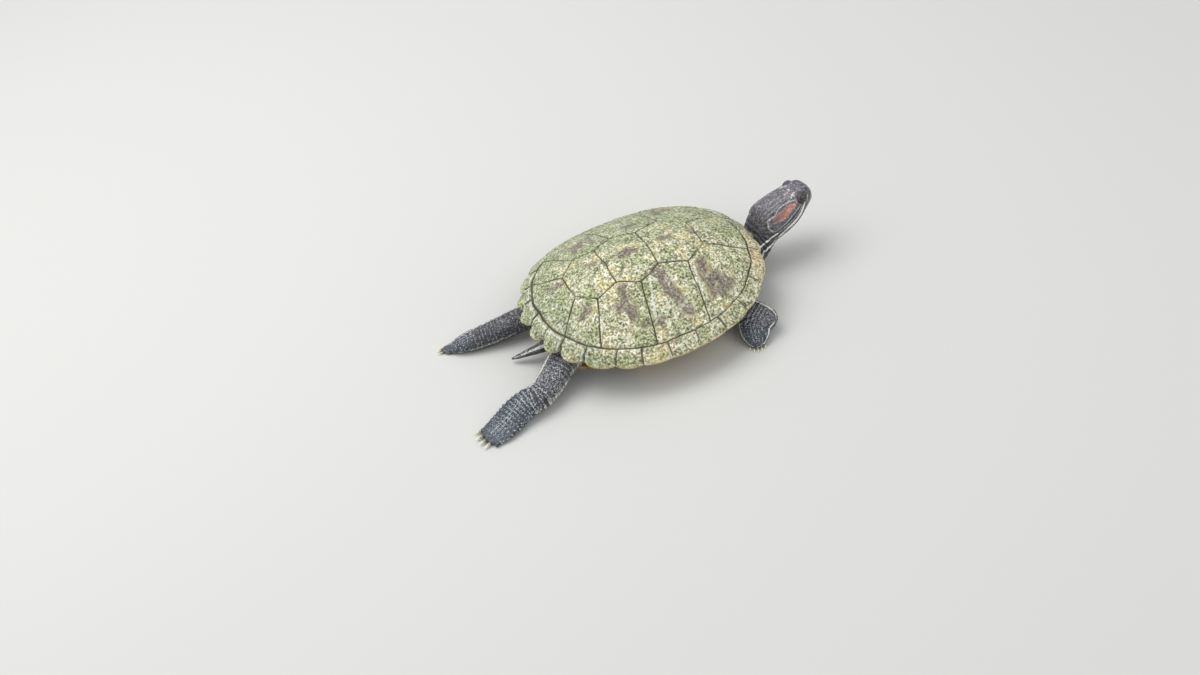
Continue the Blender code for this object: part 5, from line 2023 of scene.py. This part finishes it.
    def lay(
        self, name: str, bands: list[ScaleBand], skin: BVHTree, group: Tree, shape: Piece,
        material: Material, nodes: tuple,
    ) -> None:
        """Makes one coat piece from some bands.

        Args:
            name: The piece's name.
            bands: The stretches that it covers.
            skin: The skin, for finding where the scales stand.
            group: The node group that lays the scales.
            shape: The single scale.
            material: The scales' surface.
            nodes: The solids that the piece helps to replace.
        """
        rng = np.random.default_rng(SEED)
        limbs = {limb.name: limb for limb in LIMBS}
        roots = np.vstack([self.roots(band, limbs[band.limb], skin, rng) for band in bands])
        place = roots[:, :3]
        size, root_u, root_v, foot, pale = roots[:, 9:].T
        located = {name: limb.locate(place) for name, limb in limbs.items()}
        pale = pale + 0.1 * rng.standard_normal(len(pale)) + 0.15 * rough(place, 8, 77)
        # painted light on the fold crests and painted shade between them
        pale += self.fold_light_and_shade * folds(place, located)[1]
        for at in (located[limb] for limb in FOOT_STARTS):
            rows = np.sin(at.angle * self.ridges + 2.5 * rough(place * (0.4, 1, 1), 7, 83)) * (at.reach < 1.4)
            pale += self.ridge_pale * rows * foot
        piece = mesh_piece(name, place, [np.empty((0, 3), int)])
        store(
            piece, size=size, root_u=root_u, root_v=root_v, foot=foot, pale=np.clip(pale, 0, 1),
            cream=pale_lines(located), facing=roots[:, 3:6], lie=roots[:, 6:9],
        )
        laid = piece.modifiers.new("lay scales", "NODES")
        laid.node_group = group
        values = {"Scale": shape, "Rise": bands[0].rise * MM, "Patch": self.patch, "Horn": material}
        for item in group.interface.items_tree:
            if item.in_out == "INPUT" and item.name in values:
                laid[item.identifier] = values[item.name]
        apply_modifiers(piece)
        points = points_of(piece)
        keep_off_floor(points)
        set_points(piece, points)
        finish_piece(piece, material, "skin", *nodes)

    def build(self, material: Material) -> None:
        """Makes and dresses the coat in five pieces: one for each leg and one for the tail."""
        group, shape, skin = self.tree_group(), self.scale_shape(), surface_of(self.skin)
        for name, limbs, nodes in (
            ("hind_right", ("hind_right",), ("hind_leg_right", "hind_foot_right")),
            ("hind_left", ("hind_left",), ("hind_leg_left", "hind_foot_left")),
            ("foreleg_right", ("arm_right", "hand_right"), ("foreleg_right", "forefoot_right")),
            ("foreleg_left", ("arm_left", "hand_left"), ("foreleg_left", "forefoot_left")),
            ("tail", ("tail",), ("tail",)),
        ):
            bands = [band for band in BANDS if band.limb in limbs]
            self.lay(f"scales_{name}", bands, skin, group, shape, material, nodes)
        bpy.data.objects.remove(shape)


# ---------------------------------------------------------------- beak, eyes, claws


@dataclass
class Beak:
    """The horny sheath along both jaws: a thin band round the snout, with a notch in front above."""

    head: HeadForm
    skin: Piece
    middle: float = 13.6
    half_turn: float = 84.0
    upper: tuple = (0.12, 3.8)
    lower: tuple = (-0.4, -3.4)
    stand: float = 0.3
    lip: tuple = (0.2, 0.12)  # height and width of the biting edge's thicker lip
    notch: tuple = (0.5, 0.07)  # height and half width, in radians, of the notch in front
    depth: float = 1.0
    # A ray's start off the head's middle, its place where it meets no skin, and its reach in metres
    ray: tuple = (24.0, 12.0, 0.04)

    def band(self, name: str, low: float, high: float, skin: BVHTree) -> Piece:
        """Makes one jaw's sheath.

        Args:
            name: The piece's name.
            low: Its biting edge, from the mouth line.
            high: Its other edge.
            skin: The skin, for finding its surface.

        Returns:
            The piece.
        """
        head = self.head
        off, near, far = self.ray
        angles = np.radians(np.linspace(-self.half_turn, self.half_turn, 121))
        shares = np.linspace(0, 1, 19)
        outer, inner = [], []
        for angle in angles:
            out = unit(np.array([math.cos(angle), math.sin(angle), head.mouth_slope * math.cos(angle)]))
            aim = -out @ head.axes
            end = abs(angle) / angles[-1]
            narrow = 1 - 0.55 * smoothstep(0.55, 1.0, end)
            edge = low + self.notch[0] * bump(angle, self.notch[1]) * (low > 0)
            for share in shares:
                height = edge + (high * narrow - edge) * share
                axis = np.array([self.middle, 0.0, head.mouth_height(self.middle) + height])
                start = PLACE.to_row(head.to_shell(axis + out * off))
                hit = skin.ray_cast(Vector(start), Vector(aim), far)[0]
                place = PLACE.from_row(np.array(hit)) if hit else head.to_shell(axis + out * near)
                thin = smoothstep(1.0, 0.72, share) * smoothstep(1.0, 0.86, end)
                lip = self.lip[0] * bump(share, self.lip[1])
                outer.append(place - aim * (thin * (self.stand + lip) - 0.1))
                inner.append(place + aim * self.depth)
        shape = (len(angles), len(shares), 3)
        piece = mesh_piece(name, *slab(np.array(outer).reshape(shape), np.array(inner).reshape(shape)))
        store(piece, rim=np.tile(1 - shares, 2 * len(angles)))
        return piece

    def build(self, material: Material) -> None:
        """Makes and dresses both sheaths."""
        skin = surface_of(self.skin)
        finish_piece(self.band("upper_beak_horn", *self.upper, skin), material, "beak_keratin", "upper_beak")
        finish_piece(self.band("lower_beak_horn", *self.lower, skin), material, "beak_keratin", "lower_jaw")


@dataclass
class Eyes:
    """The two eyeballs, each with a low clear bulge before the iris."""

    head: HeadForm
    radius: float = 3.86

    def build_eye(self, name: str, sign: int) -> Piece:
        """Makes one eyeball with its rings round the way it looks.

        Args:
            name: The piece's name.
            sign: 1 for the left eye and -1 for the right.

        Returns:
            The piece.
        """
        gaze = self.head.gaze(sign)
        level = unit(np.cross((0.0, 0.0, 1.0), gaze))
        up = np.cross(gaze, level)
        off = np.concatenate([np.linspace(1.5, 60, 28), np.linspace(66, 176, 14)])
        turn = (TURN * np.arange(40) / 40)[:, None]
        angle = np.radians(off)[:, None, None]
        radius = (self.radius + 0.16 * smoothstep(44, 20, off) - 0.04)[:, None, None]
        ball = radius * (np.sin(angle) * (np.cos(turn) * level + np.sin(turn) * up) + np.cos(angle) * gaze)
        points, faces = capped(ball, gaze * (self.radius + 0.12), -gaze * self.radius)
        piece = mesh_piece(name, self.head.to_shell(points + self.head.eye_centre(sign)), faces)
        off = np.append(np.repeat(off, len(turn)), (0.0, 180.0)) / 90
        store(piece, off=off, bar=np.abs(points @ up) / self.radius)
        return piece

    def build(self, material: Material) -> None:
        """Makes and dresses both eyes."""
        for side, sign in SIDES:
            finish_piece(self.build_eye(f"eyeball_{side}", sign), material, "eye", f"eye_{side}")


@dataclass
class Claws:
    """The eighteen claws: tapered horns that curve down to a blunt point."""

    length: float = 2.34
    share: float = 0.52

    def build_claw(self, name: str, start: Array, direction: Array, foot: Foot) -> Piece:
        """Makes one claw ahead of its toe.

        Args:
            name: The piece's name.
            start: Where the toe starts.
            direction: The way that the toe points.
            foot: The foot, for its sizes.

        Returns:
            The piece.
        """
        r = foot.radius
        base = start + direction * (foot.length - 0.5) + (0, 0, 0.1)
        side, up = axes_across(direction)
        t = np.linspace(0, 1, 14)[:, None]
        reach = self.length * r + 0.8
        centres = base + direction * reach * t - np.array([0, 0, 0.32 * r]) * t**2
        thick = self.share * r * (1 - t**1.6) ** 0.8 + 0.06
        turn = (TURN * np.arange(12) / 12)[:, None]
        spokes = np.cos(turn) * side * 0.86 + np.sin(turn) * up
        points, faces = tube(centres[:, None] + thick[..., None] * spokes, direction, 0.05)
        keep_off_floor(points)
        piece = mesh_piece(name + "_horn", points, faces)
        store(piece, rim=np.clip((points - base) @ direction / reach, 0, 1))
        return piece

    def build(self, material: Material) -> None:
        """Makes and dresses every claw."""
        for foot in FEET:
            for i, (start, direction) in enumerate(foot.digits()[: foot.claws]):
                name = f"claw_{foot.name}_{i + 1}"
                finish_piece(self.build_claw(name, start, direction, foot), material, "claw_keratin", name)


# ---------------------------------------------------------------- studio


@dataclass
class Studio:
    """The plain floor, the soft lights and the camera above and behind the animal's right side."""

    # The camera's place, and its right and up axes, in the shell's axes
    camera_place: tuple = (-284.6, -812.8, 849.9)
    camera_right: tuple = (0.899, -0.415, -0.139)
    camera_up: tuple = (0.389, 0.611, 0.689)
    lens: float = 45.0
    sensor: float = 36.0
    clip: tuple = (0.01, 50.0)
    floor_size: float = 6.0
    floor_colour: str = "C9C8C4"
    # (name, place in metres, width in metres, power in watts) of the lights
    lights: tuple = (
        ("key", (-0.35, 0.55, 1.5), 1.2, 17.0), ("fill", (0.9, -0.9, 1.0), 1.4, 6.0),
        ("back", (-1.0, 0.3, 0.9), 1.0, 4.0),
    )
    sky_colour: str = "E6EAEE"
    sky_strength: float = 0.75

    def build_camera(self) -> None:
        """Places the camera."""
        right, up = unit(np.array(self.camera_right)), np.array(self.camera_up)
        up = unit(up - right * (up @ right))
        data = bpy.data.cameras.new("camera")
        data.lens, data.sensor_width = self.lens, self.sensor
        data.clip_start, data.clip_end = self.clip
        camera = linked("camera", data)
        matrix = np.eye(4)
        matrix[:3] = np.column_stack([right, up, np.cross(right, up), PLACE.to_row(self.camera_place)])
        camera.matrix_world = Matrix(matrix.tolist())
        bpy.context.scene.camera = camera

    def build_floor(self) -> None:
        """Lays the floor."""
        half = self.floor_size / 2
        mesh = bpy.data.meshes.new("floor")
        corners = [(-half, -half, 0), (half, -half, 0), (half, half, 0), (-half, half, 0)]
        mesh.from_pydata(corners, [], [(0, 1, 2, 3)])
        material = bpy.data.materials.new("matt_paper")
        material.use_nodes = True
        shader = material.node_tree.nodes["Principled BSDF"]
        shader.inputs["Base Color"].default_value = linear(self.floor_colour)
        shader.inputs["Roughness"].default_value = 0.9
        mesh.materials.append(material)
        linked("floor", mesh)

    def build_lights(self) -> None:
        """Hangs a large soft light above and a weaker one on each side, in a pale room."""
        for name, place, size, power in self.lights:
            data = bpy.data.lights.new(name, "AREA")
            data.size, data.energy = size, power
            light = linked(name, data)
            light.location = place
            light.rotation_euler = (-Vector(place)).to_track_quat("-Z", "Y").to_euler()
        world = bpy.data.worlds.new("pale_room")
        world.use_nodes = True
        sky = world.node_tree.nodes["Background"].inputs
        sky["Color"].default_value = linear(self.sky_colour)
        sky["Strength"].default_value = self.sky_strength
        bpy.context.scene.world = world
        bpy.context.scene.view_settings.view_transform = "Standard"

    def build(self) -> None:
        """Sets up the whole studio."""
        self.build_camera()
        self.build_floor()
        self.build_lights()


def main() -> None:
    """Builds and dresses the animal."""
    logging.basicConfig(level=logging.INFO, format="%(name)s %(message)s")
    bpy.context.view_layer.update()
    form, head = ShellForm(), HeadForm()
    crust = AlgaeCladKeratin().build()
    UpperPlates(form).build(crust)
    Rim(form).build(crust)
    Underside(form).build(PlastronKeratin().build())
    skin = Skin(form, head).build(ScalySkin().build())
    ScaleCoat(form, skin).build(ScaleHorn().build())
    Beak(head, skin).build(BeakHorn().build())
    Eyes(head).build(WetEye().build())
    Claws().build(ClawHorn().build())
    Studio().build()


if __name__ == "__main__":
    main()
